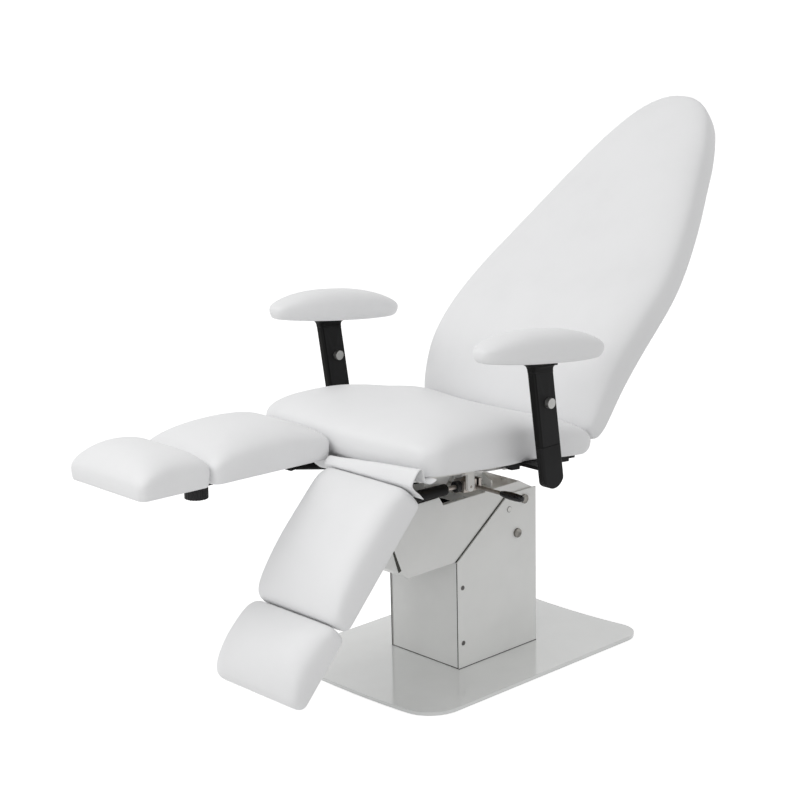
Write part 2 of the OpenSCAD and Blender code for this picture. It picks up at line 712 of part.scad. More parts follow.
module arm_bracket(side) {
  seat_axes() both_sided(side) {
    difference() {
      span_box([bracket_bar_x[0], bracket_bar_y[0], -bracket_bar_t], [bracket_bar_x[1], bracket_bar_y[1], 0]);
      for (y = bolt_rows) translate([bolt_x, y, 0]) cylinder(d = bolt_d + 2 * fit, h = seat_t, center = true);
    }
    span_box([bracket_bar_x[1] - over, bracket_arm_y[0], -bracket_bar_t],
      [arm_x - post_t / 2 + over, bracket_arm_y[1], 0]);
    for (y = strap_rows) {
      span_box([rail_x + rail_w / 2, y, -board_t - strap_t], [bracket_bar_x[1], y + cross_w, -board_t]);
      span_box([bracket_bar_x[0], y, -board_t - over], [bracket_bar_x[1], y + cross_w, -bracket_bar_t]);
    }
  }
  post_axes(side) {
    intersection() {
      post_bar(-stub_drop, post_w);
      side_plate(-post_t, 2 * post_t) union() {
        translate([0, -stub_drop + post_w / 2]) circle(d = post_w);
        polygon([seam_point(-1, -gap / 2), seam_point(1, -gap / 2),
          [post_w / 2, -stub_drop + post_w / 2], [-post_w / 2, -stub_drop + post_w / 2]]);
      }
    }
    difference() {
      span_box([-inner_post_t / 2, -inner_post_w / 2, -post_w / 2],
        [inner_post_t / 2, inner_post_w / 2, inner_post_l]);
      span_box([inner_post_t / 2 - groove_t, button_at[0] - groove_w / 2, post_edge_r],
        [inner_post_t, button_at[0] + groove_w / 2, inner_post_l + over]);
    }
  }
}
bolt_d = 6;
bolt_head_d = 12;
bolt_head_h = 6;
bolt_x = bracket_bar_x[0] + bolt_head_d;
bolt_rows = [-60, 40, 90];
module both_sided(side) mirror([side < 0 ? 1 : 0, 0, 0]) children();

module left_arm_bracket() color(dark) arm_bracket(1);
module right_arm_bracket() color(dark) arm_bracket(-1);

module bracket_bolts() color(dark) both_sides() seat_axes() for (y = bolt_rows) translate([bolt_x, y, 0]) {
  translate([0, 0, -bracket_bar_t]) cylinder(d = bolt_d, h = bracket_bar_t);
  translate([0, 0, -bracket_bar_t - bolt_head_h]) cylinder(d = bolt_head_d, h = bolt_head_h);
}

// Post outline with rounded edges, and the level seam between bracket and sleeve
module post_bar(z0, z1) translate([0, 0, z0])
  linear_extrude(height = z1 - z0) rounded_rect(post_t, post_w, post_edge_r);
module rounded_rect(w, l, r) union() {
  square([w - 2 * r, l], center = true);
  square([w, l - 2 * r], center = true);
  for (x = [-1, 1], y = [-1, 1]) translate([x * (w / 2 - r), y * (l / 2 - r)]) circle(r = r);
}
function seam_point(s, rise) = [s * post_w / 2, -s * post_w / 2 * tan(post_lean) + rise];
function sleeve_top(s) = [s * post_w / 2, sleeve_l - s * post_w / 2 * tan(post_lean + pad_tilt)];

plate_t = 4;
plate_rim = 9;
module arm_sleeve(side) {
  post_axes(side) difference() {
    intersection() {
      post_bar(-post_w, sleeve_l + post_w);
      side_plate(-post_t, 2 * post_t)
        polygon([seam_point(-1, gap / 2), seam_point(1, gap / 2), sleeve_top(1), sleeve_top(-1)]);
    }
    span_box([-inner_post_t / 2 - gap / 2, -inner_post_w / 2 - gap / 2, -post_w],
      [inner_post_t / 2 + gap / 2, inner_post_w / 2 + gap / 2, inner_post_l + gap]);
    translate([post_t / 2, button_at[0], button_at[1]]) x_rod(button_d + 2 * fit, post_t);
  }
  translate([side * arm_x, 0, 0]) translate([0, post_foot[0], post_foot[1]]) rotate([post_lean, 0, 0])
    translate([0, 0, sleeve_l]) rotate([-post_lean - pad_tilt, 0, 0]) translate([0, 0, -gap])
      linear_extrude(height = plate_t)
        rounded_rect(post_t + 2 * plate_rim, post_w + 2 * plate_rim, plate_rim);
}
module left_arm_sleeve() color(dark) arm_sleeve(1);
module right_arm_sleeve() color(dark) arm_sleeve(-1);

module arm_pad(side) translate([side * pad_x, pad_at[0], pad_at[1]]) rotate([-pad_tilt, 0, 0])
  cushion_form(oval_outline(pad_w / 2, pad_l / 2, pad_oval, pad_steps), [0, 0],
    pad_tuck, pad_power,
    function (p) pad_t * (1 - pad_end_share * pow(p[1] * 2 / pad_l, 2)),
    function (p) pad_lift * pow(p[1] * 2 / pad_l, 2));
pad_oval = 2.7;
pad_steps = 32;
pad_end_share = 0.12;
pad_lift = 5;
pad_tuck = 12;
pad_power = 2.4;
module left_arm_pad() color(vinyl) arm_pad(1);
module right_arm_pad() color(vinyl) arm_pad(-1);

module arm_button(side) post_axes(side) translate([0, button_at[0], button_at[1]])
  translate([inner_post_t / 2 + gap, 0, 0]) rotate([0, 90, 0])
    cylinder(d = button_d, h = post_t / 2 - inner_post_t / 2 - gap + button_h);
module left_arm_button() color(steel) arm_button(1);
module right_arm_button() color(steel) arm_button(-1);

// Backrest

back_w_shares = [[0, 0.8], [0.003, 0.87], [0.012, 0.92], [0.035, 0.953], [0.08, 0.98], [0.16, 1],
  [0.25, 1], [0.34, 0.985], [0.42, 0.955], [0.5, 0.9], [0.58, 0.83], [0.66, 0.75], [0.74, 0.66],
  [0.82, 0.57], [0.885, 0.475], [0.94, 0.37], [0.98, 0.235], [0.998, 0.1]];
function mirrored(q) = [for (k = [len(q) - 1:-1:0]) [-q[k][0], q[k][1]]];
function back_outline() =
  let (right = [for (q = back_w_shares) [q[1] * back_w / 2, q[0] * back_l]])
  concat([[0, 0]], right, [[0, back_l]], mirrored(right));
// Forward bend of the whole backrest at the waist
back_bend = 24;
back_bend_v = 185;
back_bend_span = 190;
back_foot_set = 4;
back_foot_flare = 19;
back_foot_span = 80;
function back_curve(v) = back_bend * exp(-pow((v - back_bend_v) / back_bend_span, 2))
  - back_foot_set - back_foot_flare * exp(-pow(v / back_foot_span, 2));
function back_height(p) =
  back_t * (1 - back_thin_share * (pow((p[1] - back_l / 2) * 2 / back_l, 2) + pow(p[0] * 2 / back_w, 2))
    - back_low_share * exp(-pow(p[1] / back_foot_span, 2)))
  + back_lumbar * exp(-pow((p[1] - back_bend_v) / back_bend_span, 2));
back_lumbar = 8;
back_thin_share = 0.06;
back_low_share = 0.11;
back_centre_share = 0.42;
back_tuck = 6;
back_power = 3.6;

module backrest_cushion() color(vinyl) back_axes() translate([0, back_v0, back_n0])
  cushion_form(back_outline(), [0, back_l * back_centre_share], back_tuck, back_power,
    function (p) back_height(p), function (p) back_curve(p[1]),
    [for (k = [1:under_rings]) k / (under_rings + 1)]);

back_board_shares = [[0.08, 0.5], [0.11, 0.62], [0.2, 0.64], [0.45, 0.6], [0.85, 0.3], [0.93, 0.12]];
back_board_steps = 24;
board_gap = 1;
under_rings = 9;
module backrest_board() color(dark) back_axes() translate([0, back_v0, back_n0 - board_gap]) intersection() {
  half = [for (q = back_board_shares) [q[1] * back_w / 2, q[0] * back_l]];
  v = [for (k = [0:back_board_steps]) back_l * k / back_board_steps];
  translate([0, 0, -back_t]) linear_extrude(height = 2 * back_t) polygon(concat(half, mirrored(half)));
  side_plate(-back_w / 2, back_w) polygon(concat([for (y = v) [y, back_curve(y)]],
    [for (k = [back_board_steps:-1:0]) [v[k], back_curve(v[k]) - back_board_t]]));
}

back_hinge_world = [back_pin_at[0] * cos(seat_tilt) + back_pin_at[1] * sin(seat_tilt),
  seat_z - back_pin_at[0] * sin(seat_tilt) + back_pin_at[1] * cos(seat_tilt)];
back_hinge_local = turned(back_hinge_world - [back_y, back_z], -back_angle);
back_rail_top = back_n0 - back_foot_set - back_board_t - board_gap - fit;
knuckle_d = 26;
back_cross_v = [70, back_rail_l - 60];
module backrest_frame() color(dark) difference() {
  union() {
    back_axes() {
      both_sides() span_box([back_rail_x - back_rail_w / 2, back_hinge_local[0], back_rail_top - back_rail_h],
        [back_rail_x + back_rail_w / 2, back_rail_l, back_rail_top]);
      for (v = back_cross_v) span_box([-back_rail_x, v, back_rail_top - back_rail_h],
        [back_rail_x, v + cross_w, back_rail_top]);
    }
    translate([0, back_hinge_world[0], back_hinge_world[1]])
      x_rod(knuckle_d, 2 * back_rail_x + back_rail_w + gap);
    for (s = [-1, 1])
      translate([s * (head_half_w + lug_t / 2 - gap), back_hinge_world[0], back_hinge_world[1]]) {
      side_plate(-lug_t / 2, lug_t) polygon([[-spring_body_d / 2, 0], [spring_body_d / 2, 0],
        [lift_spring_lever[0] + rail_w / 2 - gap, -lift_spring_lever[1]],
        [lift_spring_lever[0] - rail_w / 2 + gap, -lift_spring_lever[1]]]);
      translate([0, lift_spring_lever[0], -lift_spring_lever[1]]) x_rod(rail_w, lug_t);
    }
    translate([0, back_hinge_world[0] + lift_spring_lever[0], back_hinge_world[1] - lift_spring_lever[1]])
      x_rod(spring_pin_d, 2 * head_half_w);
  }
  translate([0, back_hinge_world[0], back_hinge_world[1]]) x_rod(back_pin_d + 2 * fit, seat_w);
  seat_axes() span_box([-seat_w / 2, seat_mid_y, -gap], [seat_w / 2, seat_y1 + 2 * gap, seat_t / 2]);
}

module back_hinge_pins() color(steel) both_sides()
  translate([(back_rail_x + rail_x) / 2, back_hinge_world[0], back_hinge_world[1]])
    x_rod(back_pin_d, rail_x - back_rail_x + rail_w / 2 + back_rail_w / 2);

back_spring_foot = [-195, column_h + 55];
back_spring_end = back_hinge_world + [lift_spring_lever[0], -lift_spring_lever[1]];
back_spring_l = norm(back_spring_end - back_spring_foot);
back_spring_lean = atan2(back_spring_end[1] - back_spring_foot[1], back_spring_end[0] - back_spring_foot[0]);
back_spring_body_l = 190;
back_spring_dive = 30;
back_spring_d = 22;
back_eye_w = 16;
module back_spring_axes() translate([0, back_spring_foot[0], back_spring_foot[1]])
  rotate([back_spring_lean, 0, 0]) children();
module along_y(d, y0, y1) translate([0, y1, 0]) rotate([90, 0, 0]) cylinder(d = d, h = y1 - y0);

module back_spring_cylinder() color(dark) {
  back_spring_axes() difference() {
    union() {
      x_rod(rail_w, back_eye_w);
      along_y(back_eye_w - 2 * gap, 0, rail_w);
      along_y(back_spring_d, rail_w, back_spring_body_l);
    }
    along_y(spring_rod_d + 2 * fit, rail_w + gap, back_spring_l);
    x_rod(spring_pin_d + 2 * fit, back_spring_d);
  }
}

module back_spring_rod() color(steel) back_spring_axes() difference() {
  union() {
    along_y(spring_rod_d, rail_w + 2 * gap + back_spring_dive, back_spring_l - spring_eye_bore / 2);
    translate([0, back_spring_l, 0]) x_rod(spring_eye_bore + rail_w / 2, back_eye_w);
  }
  translate([0, back_spring_l, 0]) x_rod(spring_eye_bore, rail_h);
}

// Leg rests. In the leg frame, -y runs along the leg rest and z is square to it.

rail_s0 = 58;
link_w = [-22, -12];
module leg_frame(side) leg_axes(side, leg_drop(side)) difference() {
  bar_y = [-rail_s0 - cross_w, -rail_s0];
  spring_at = side * (spring_x - leg_x);
  union() {
    x_rod(hinge_tube_d, knuckle_w);
    difference() {
      union() {
        span_box([-knuckle_w / 2, -hinge_tube_d / 2, link_w[1] - over], [knuckle_w / 2, 0, 0]);
        span_box([-knuckle_w / 2, bar_y[0], link_w[0]], [knuckle_w / 2, 0, link_w[1]]);
        span_box([-knuckle_w / 2, bar_y[0], link_w[0]], [knuckle_w / 2, bar_y[1], bar_low]);
      }
      span_box([spring_at - spring_slot_w / 2, 2 * bar_y[0], 2 * link_w[0]],
        [spring_at + spring_slot_w / 2, over, bar_low]);
    }
    span_box([-leg_rail_x, bar_y[0], bar_low], [leg_rail_x, bar_y[1], cushion_w0 - soft_gap]);
    for (s = [-1, 1])
      span_box([s * leg_rail_x - leg_rail_w / 2, -leg_rail_s1, cushion_w0 - leg_rail_h],
        [s * leg_rail_x + leg_rail_w / 2, bar_y[1], cushion_w0 - soft_gap]);
    span_box([-leg_rail_x, -knob_s - cross_w / 2, cushion_w0 - leg_rail_h],
      [leg_rail_x, -knob_s + cross_w / 2, cushion_w0 - leg_rail_h + slide_w / 2]);
    translate([spring_at, 0, 0]) {
      for (s = [-1, 1]) translate([s * (spring_lug_half + lug_t / 2 + gap / 2), 0, 0])
        side_plate(-lug_t / 2, lug_t) union() {
          translate([-spring_lug[0], spring_lug[1]]) circle(d = rail_w);
          translate([-spring_lug[0] - rail_w / 2, spring_lug[1]])
            square([rail_w, bar_low - spring_lug[1] + gap]);
        }
      translate([0, -spring_lug[0], spring_lug[1]]) x_rod(spring_pin_d, 2 * spring_lug_half + 2 * lug_t);
    }
  }
  x_rod(hinge_rod_d + 2 * fit, leg_w);
  for (s = [-1, 1]) translate([s * leg_rail_x, 0, cushion_w0 - leg_rail_h / 2])
    span_box([-slide_w / 2 - fit, -leg_rail_s1 - over, -slide_h / 2 - fit],
      [slide_w / 2 + fit, -slide_s0 + gap, slide_h / 2 + fit]);
  translate([0, -knob_s, 0]) cylinder(d = hinge_rod_d + 2 * fit, h = calf_l, center = true);
}
bar_low = -5;
spring_slot_w = 28;
spring_lug_half = 9;
module left_leg_frame() color(dark) leg_frame(1);
module right_leg_frame() color(dark) leg_frame(-1);

leg_power = 3;
leg_tuck = 4;
leg_corner_r = 20;
calf_end_shares = [0.16, 0.28];
foot_end_shares = [0.2, 0.34];
leg_side_share = 0.03;
function leg_height(p, half_l, t, end_shares) =
  t * (1 - end_shares[p[1] > 0 ? 0 : 1] * pow(p[1] / half_l, 2) - leg_side_share * pow(p[0] * 2 / leg_w, 2));
module leg_cushion(side, s0, l, t, end_shares) leg_axes(side, leg_drop(side))
  translate([0, -s0 - l / 2, cushion_w0])
    cushion_form(rounded_outline(leg_w / 2, l / 2, leg_corner_r, [0, 0]), [0, 0], leg_tuck, leg_power,
      function (p) leg_height(p, l / 2, t, end_shares), function (p) flat(p));
module left_calf_cushion() color(vinyl) leg_cushion(1, calf_s0, calf_l, leg_t, calf_end_shares);
module right_calf_cushion() color(vinyl) leg_cushion(-1, calf_s0, calf_l, leg_t, calf_end_shares);
module left_foot_cushion() color(vinyl) leg_cushion(1, foot_s0, foot_l, foot_t, foot_end_shares);
module right_foot_cushion() color(vinyl) leg_cushion(-1, foot_s0, foot_l, foot_t, foot_end_shares);

module foot_slide(side) leg_axes(side, leg_drop(side)) {
  mid = cushion_w0 - leg_rail_h / 2;
  for (s = [-1, 1]) span_box([s * leg_rail_x - slide_w / 2, -foot_s0 - foot_l / 2, mid - slide_h / 2],
    [s * leg_rail_x + slide_w / 2, -slide_s0, mid + slide_h / 2]);
  for (y = [foot_s0 + cross_w, foot_s0 + foot_l / 2])
    span_box([-2 * leg_rail_x + leg_rail_w, -y - cross_w, mid - slide_h / 2 + gap],
      [2 * leg_rail_x - leg_rail_w, -y, cushion_w0 - soft_gap]);
}
module left_foot_slide() color(dark) foot_slide(1);
module right_foot_slide() color(dark) foot_slide(-1);

knob_ribs = 24;
rib_d = 5;
rib_fn = 16;
module foot_knob(side) leg_axes(side, leg_drop(side)) translate([0, -knob_s, 0]) {
  difference() {
    translate([0, 0, knob_top - knob_h]) cylinder(d = knob_d, h = knob_h);
    for (k = [0:knob_ribs - 1]) rotate([0, 0, 360 * k / knob_ribs])
      translate([knob_d / 2 + rib_d / 4, 0, knob_top - knob_h - over])
        cylinder(d = rib_d, h = knob_h + 2 * over, $fn = rib_fn);
  }
  translate([0, 0, knob_top]) cylinder(d = hinge_rod_d, h = cushion_w0 - leg_rail_h + slide_w / 2 - knob_top);
}
module left_foot_knob() color(dark) foot_knob(1);
module right_foot_knob() color(dark) foot_knob(-1);

// Leg springs, between the leg lug and the release head under the seat
function lug_world(side) = [leg_hinge_y, leg_hinge_z]
  + turned([-spring_lug[0], spring_lug[1]], leg_drop(side) - leg_rise_angle);
function spring_lean(side) = let (d = spring_head - lug_world(side)) atan2(d[1], d[0]);
function spring_length(side) = norm(spring_head - lug_world(side));
module spring_axes(side) translate([side * spring_x, lug_world(side)[0], lug_world(side)[1]])
  rotate([spring_lean(side), 0, 0]) children();

module leg_spring_cylinder(side) spring_axes(side) difference() {
  union() {
    x_rod(spring_eye_bore + rail_w / 2, 2 * spring_lug_half);
    along_y(2 * spring_lug_half - 2 * gap, spring_eye_bore / 2, spring_body_d);
    along_y(spring_body_d, rail_w, spring_body_l);
    along_y(spring_body_d - rail_w / 2, spring_body_l, spring_body_l + 2 * gap);
  }
  x_rod(spring_eye_bore, spring_body_d);
  along_y(spring_rod_d + 2 * fit, rail_w + gap, spring_body_l + spring_body_d);
}
module left_leg_spring_cylinder() color(dark) leg_spring_cylinder(1);
module right_leg_spring_cylinder() color(dark) leg_spring_cylinder(-1);

ring_d = 24;
ring_l = 11;
head_l = 15;
head_h = 24;
ear_t = 7;
ear_gap = 7;
module leg_spring_rod(side) {
  l = spring_length(side);
  spring_axes(side) {
    along_y(spring_rod_d, rail_w + 2 * gap + spring_dive, l - head_l);
    along_y(ring_d, l - head_l - ring_l, l - head_l);
    difference() {
      union() {
        span_box([-head_half_w, l - head_l, -head_h / 2], [head_half_w, l + head_l, head_h / 2]);
        for (y = [0, ear_t + ear_gap])
          span_box([-head_half_w, l + head_l + y - over * (y == 0 ? 1 : 0), -head_h / 2],
            [head_half_w, l + head_l + y + ear_t, head_h / 2]);
        span_box([-head_half_w * side - ear_t / 2, l + head_l, -head_h / 2],
          [-head_half_w * side + ear_t / 2, l + head_l + 2 * ear_t + ear_gap, head_h / 2]);
      }
      translate([0, 0, -lever_set]) along_y(lever_pin_d + 2 * fit, l + head_l, l + 3 * head_l);
    }
    translate([0, l, 0]) x_rod(spring_pin_d, 2 * (head_half_w + lug_t) + gap);
    translate([0, 0, -lever_set]) along_y(lever_pin_d, l + head_l - over, l + head_l + 2 * ear_t + ear_gap);
  }
}
lever_pin_d = 5;
module left_leg_spring_rod() color(steel) leg_spring_rod(1);
module right_leg_spring_rod() color(steel) leg_spring_rod(-1);

lever_d = 8;
lever_blade = 6;
module lever_axes(side) spring_axes(side)
  translate([0, spring_length(side) + head_l + ear_t + ear_gap / 2, -lever_set]) children();
module release_lever(side) lever_axes(side) {
  difference() {
    union() {
      y_rod(2 * lever_d, lever_blade);
      translate([side * (head_half_w + gap) / 2, 0, 0])
        cube([head_half_w + gap, lever_blade, lever_d], center = true);
    }
    y_rod(lever_pin_d + 2 * fit, spring_body_d);
  }
  translate([side * (head_half_w + lever_l / 2 + gap / 2), 0, 0]) x_rod(lever_d, lever_l);
}
module left_release_lever() color(steel) release_lever(1);
module right_release_lever() color(steel) release_lever(-1);

grip_shares = [[0, 0.62], [0.16, 0.86], [0.42, 1], [0.68, 0.98], [0.88, 0.86], [0.98, 0.6]];
grip_d = 17;
module lever_grip(side) lever_axes(side) translate([side * (head_half_w + lever_l + gap / 2), 0, 0])
  rotate([0, side * 90, 0]) rotate_extrude()
    polygon(concat([[0, 0]], [for (q = grip_shares) [grip_d / 2 * q[1], grip_l * q[0]]], [[0, grip_l]]));
module left_lever_grip() color(dark) lever_grip(1);
module right_lever_grip() color(dark) lever_grip(-1);

// Vinyl flap over the gap between the seat and a leg rest: a folded strip
flap_t = 1.6;
function smooth_path(q, steps) = [for (k = [0:len(q) - 2], i = [0:steps - 1])
  let (a = q[max(k - 1, 0)], b = q[k], c = q[k + 1], d = q[min(k + 2, len(q) - 1)], t = i / steps)
  0.5 * (2 * b + (c - a) * t + (2 * a - 5 * b + 4 * c - d) * t * t + (3 * b - a - 3 * c + d) * t * t * t)];
function path_side(q, d) = [for (i = [0:len(q) - 1])
  let (a = q[max(i - 1, 0)], b = q[min(i + 1, len(q) - 1)], u = (b - a) / norm(b - a))
    q[i] + [-u[1], u[0]] * d];
module folded_strip(x0, x1, q) {
  p = concat(smooth_path(q, 4), [q[len(q) - 1]]);
  side_plate(x0, x1 - x0) translate([0, column_h]) polygon(concat(path_side(p, flap_t / 2),
    [for (k = [len(p) - 1:-1:0]) path_side(p, -flap_t / 2)[k]]));
}
// Points of both folds: distance from the column and rise over it
left_flap_path = [[-325, 142], [-329, 134], [-339, 129], [-352, 132], [-361, 142], [-366, 154], [-371, 165],
  [-378, 165], [-383, 155], [-381, 143], [-374, 132], [-366, 122], [-360, 110.8]];
right_flap_path = [[-325, 143], [-328, 133], [-336, 125], [-346, 122.5], [-355, 127], [-361, 135],
  [-364.5, 142.2]];
module left_leg_flap() color(vinyl) folded_strip(leg_x - leg_w / 2, leg_x + leg_w / 2, left_flap_path);
module right_leg_flap() color(vinyl) folded_strip(-leg_x - leg_w / 2, -leg_x + leg_w / 2, right_flap_path);

base_plate();
column_frame();
left_side_panel();
right_side_panel();
front_panel();
rear_panel();
panel_screws();
lift_pivot_pins();
hole_plugs();
power_inlet();
control_box();
actuator_body();
actuator_rod();
lower_lift_arm();
upper_lift_arm();
carrier_frame();
carrier_pins();
hood();
hood_screws();
seat_brackets();
seat_frame();
seat_board();
seat_cushion();
leg_hinge_shaft();
handset_hook();
left_arm_bracket();
right_arm_bracket();
bracket_bolts();
back_spring_cylinder();
back_hinge_pins();
back_spring_rod();
backrest_frame();
backrest_board();
backrest_cushion();
left_leg_frame();
right_leg_frame();
left_calf_cushion();
right_calf_cushion();
left_leg_flap();
right_leg_flap();
left_foot_slide();
right_foot_slide();
left_foot_cushion();
right_foot_cushion();
left_foot_knob();
right_foot_knob();
left_leg_spring_cylinder();
right_leg_spring_cylinder();
left_leg_spring_rod();
right_leg_spring_rod();
left_release_lever();
right_release_lever();
left_lever_grip();
right_lever_grip();
left_arm_sleeve();
right_arm_sleeve();
left_arm_pad();
right_arm_pad();
left_arm_button();
right_arm_button();
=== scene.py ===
"""Podiatry chair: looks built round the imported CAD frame. Metres, origin on the floor under the column."""
import json
import math

import bpy
import numpy as np
from mathutils import Matrix, Vector, noise


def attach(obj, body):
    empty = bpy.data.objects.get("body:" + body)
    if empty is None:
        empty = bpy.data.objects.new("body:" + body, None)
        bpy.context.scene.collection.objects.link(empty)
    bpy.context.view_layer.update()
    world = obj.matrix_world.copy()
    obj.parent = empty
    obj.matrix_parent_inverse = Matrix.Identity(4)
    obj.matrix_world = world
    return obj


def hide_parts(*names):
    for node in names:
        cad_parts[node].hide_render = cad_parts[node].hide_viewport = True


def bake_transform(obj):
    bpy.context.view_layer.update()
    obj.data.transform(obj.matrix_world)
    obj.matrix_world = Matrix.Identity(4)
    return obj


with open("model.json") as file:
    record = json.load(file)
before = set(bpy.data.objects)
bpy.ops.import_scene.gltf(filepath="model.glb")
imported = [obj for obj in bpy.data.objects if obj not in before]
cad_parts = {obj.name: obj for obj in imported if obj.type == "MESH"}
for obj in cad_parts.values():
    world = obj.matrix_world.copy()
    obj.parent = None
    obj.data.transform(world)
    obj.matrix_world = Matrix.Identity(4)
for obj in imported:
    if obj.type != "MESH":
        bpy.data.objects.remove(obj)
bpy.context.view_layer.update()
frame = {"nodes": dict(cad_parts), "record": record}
nodes = frame["nodes"]

SIDES = ((1, "left"), (-1, "right"))

# Seat: width, length, thickness, height of its underside, tilt in degrees and rear edge
SEAT_W = 0.522
SEAT_L = 0.501
SEAT_T = 0.109
SEAT_Z = 0.4774
SEAT_TILT = 5.8
SEAT_Y1 = 0.150

# Backrest: its hinge in y and z, and where the cushion starts along and off the line through the hinge
BACK_L = 0.880
BACK_W = 0.544
BACK_T = 0.096
BACK_ANGLE = 45.0
BACK_AT = (0.101, 0.500)
BACK_V0 = 0.024
BACK_N0 = -0.038

# Leg rests: the hinge in y and z, and distances from it along the rest
LEG_W = 0.244
LEG_X = 0.126
LEG_RISE = 1.5
LEFT_DROP = 48.5
HINGE = (-0.310, 0.497)
CALF_S0 = 0.050
CALF_L = 0.299
CALF_T = 0.086
LEG_GAP = 0.003
FOOT_L = 0.169
FOOT_T = 0.079
CUSHION_W0 = 0.010

# Arm rests: pad, then the leaning post and its sleeve
PAD_L = 0.354
PAD_W = 0.092
PAD_T = 0.061
PAD_TILT = 6.0
PAD_X = 0.306
PAD_AT = (-0.082, 0.710)
ARM_X = 0.316
POST_FOOT = (-0.069, 0.537)
POST_LEAN = 8.0
POST_W = 0.058
POST_T = 0.020
SLEEVE_L = 0.172

# Sockets of the Mix node when it mixes colours
MIX_FACTOR, MIX_A, MIX_B, MIX_RESULT = 0, 6, 7, 2

VINYL_COLOR = (0.86, 0.862, 0.868)


# Material helpers
def new_material(name, color, rough, metallic=0.0, coat=0.0, coat_rough=0.03, spec=0.5):
    m = bpy.data.materials.new(name)
    m.use_nodes = True
    nt = m.node_tree
    bsdf = nt.nodes["Principled BSDF"]
    bsdf.inputs["Base Color"].default_value = (*color, 1)
    bsdf.inputs["Roughness"].default_value = rough
    bsdf.inputs["Metallic"].default_value = metallic
    bsdf.inputs["Coat Weight"].default_value = coat
    bsdf.inputs["Coat Roughness"].default_value = coat_rough
    bsdf.inputs["Specular IOR Level"].default_value = spec
    m.diffuse_color = (*color, 1)
    return m, nt, bsdf


def node(nt, kind, inputs=(), **props):
    n = nt.nodes.new(kind)
    for k, v in props.items():
        setattr(n, k, v)
    for k, v in dict(inputs).items():
        n.inputs[k].default_value = v
    return n


def coords(nt, scale=(1, 1, 1)):
    tc = node(nt, "ShaderNodeTexCoord")
    mp = node(nt, "ShaderNodeMapping", {"Scale": scale})
    nt.links.new(tc.outputs["Object"], mp.inputs["Vector"])
    return mp.outputs["Vector"]


def noise_tex(nt, vec, scale, detail=3.0, rough=0.5, distortion=0.0):
    n = node(nt, "ShaderNodeTexNoise",
             {"Scale": scale, "Detail": detail, "Roughness": rough, "Distortion": distortion})
    nt.links.new(vec, n.inputs["Vector"])
    return n.outputs["Fac"]


def remap(nt, fac, lo, hi, from_lo=0.0, from_hi=1.0):
    r = node(nt, "ShaderNodeMapRange",
             {"From Min": from_lo, "From Max": from_hi, "To Min": lo, "To Max": hi})
    nt.links.new(fac, r.inputs["Value"])
    return r.outputs["Result"]


def ramp_color(nt, fac, stops):
    r = node(nt, "ShaderNodeValToRGB")
    e = r.color_ramp.elements
    while len(e) < len(stops):
        e.new(0.5)
    for el, (pos, col) in zip(e, stops):
        el.position = pos
        el.color = (*col, 1)
    nt.links.new(fac, r.inputs["Fac"])
    return r.outputs["Color"]


def shade(color, k):
    return tuple(min(1.0, c * k) for c in color)


def add_bump(nt, bsdf, layers, bevel=0.0):
    """Layers are (height, strength, distance), and bevel is the radius of softened edges."""
    normal = None
    if bevel:
        b = node(nt, "ShaderNodeBevel", {"Radius": bevel}, samples=4)
        normal = b.outputs["Normal"]
    for fac, strength, dist in layers:
        b = node(nt, "ShaderNodeBump", {"Strength": strength, "Distance": dist})
        nt.links.new(fac, b.inputs["Height"])
        if normal is not None:
            nt.links.new(normal, b.inputs["Normal"])
        normal = b.outputs["Normal"]
    nt.links.new(normal, bsdf.inputs["Normal"])


def vinyl_material(name, seed=0.0):
    """White upholstery vinyl: broad cloudiness, fine leather cells. The seed moves the pattern."""
    color = VINYL_COLOR
    m, nt, bsdf = new_material(name, color, 0.46, coat=0.06, coat_rough=0.32, spec=0.45)
    off = node(nt, "ShaderNodeVectorMath", operation="ADD")
    off.inputs[1].default_value = (seed, seed * 0.37, -seed * 0.61)
    nt.links.new(coords(nt), off.inputs[0])
    v = off.outputs["Vector"]
    broad = noise_tex(nt, v, scale=7.0, detail=3, rough=0.55)
    fine = noise_tex(nt, v, scale=320.0, detail=2)
    fine_share = 0.25
    mix = node(nt, "ShaderNodeMath", operation="MULTIPLY_ADD")
    mix.inputs[1].default_value = fine_share
    nt.links.new(fine, mix.inputs[0])
    nt.links.new(broad, mix.inputs[2])
    stops = [(0.30, shade(color, 0.965)), (0.62, color), (0.95, shade(color, 1.02))]
    nt.links.new(ramp_color(nt, mix.outputs["Value"], stops), bsdf.inputs["Base Color"])
    nt.links.new(remap(nt, broad, lo=0.40, hi=0.53), bsdf.inputs["Roughness"])
    cells = node(nt, "ShaderNodeTexVoronoi", {"Scale": 620.0, "Randomness": 1.0}, feature="SMOOTH_F1")
    nt.links.new(v, cells.inputs["Vector"])
    grain = cells.outputs["Distance"]
    add_bump(nt, bsdf, [(broad, 0.10, 0.004), (grain, 0.16, 0.0005), (fine, 0.08, 0.0004)])
    return m


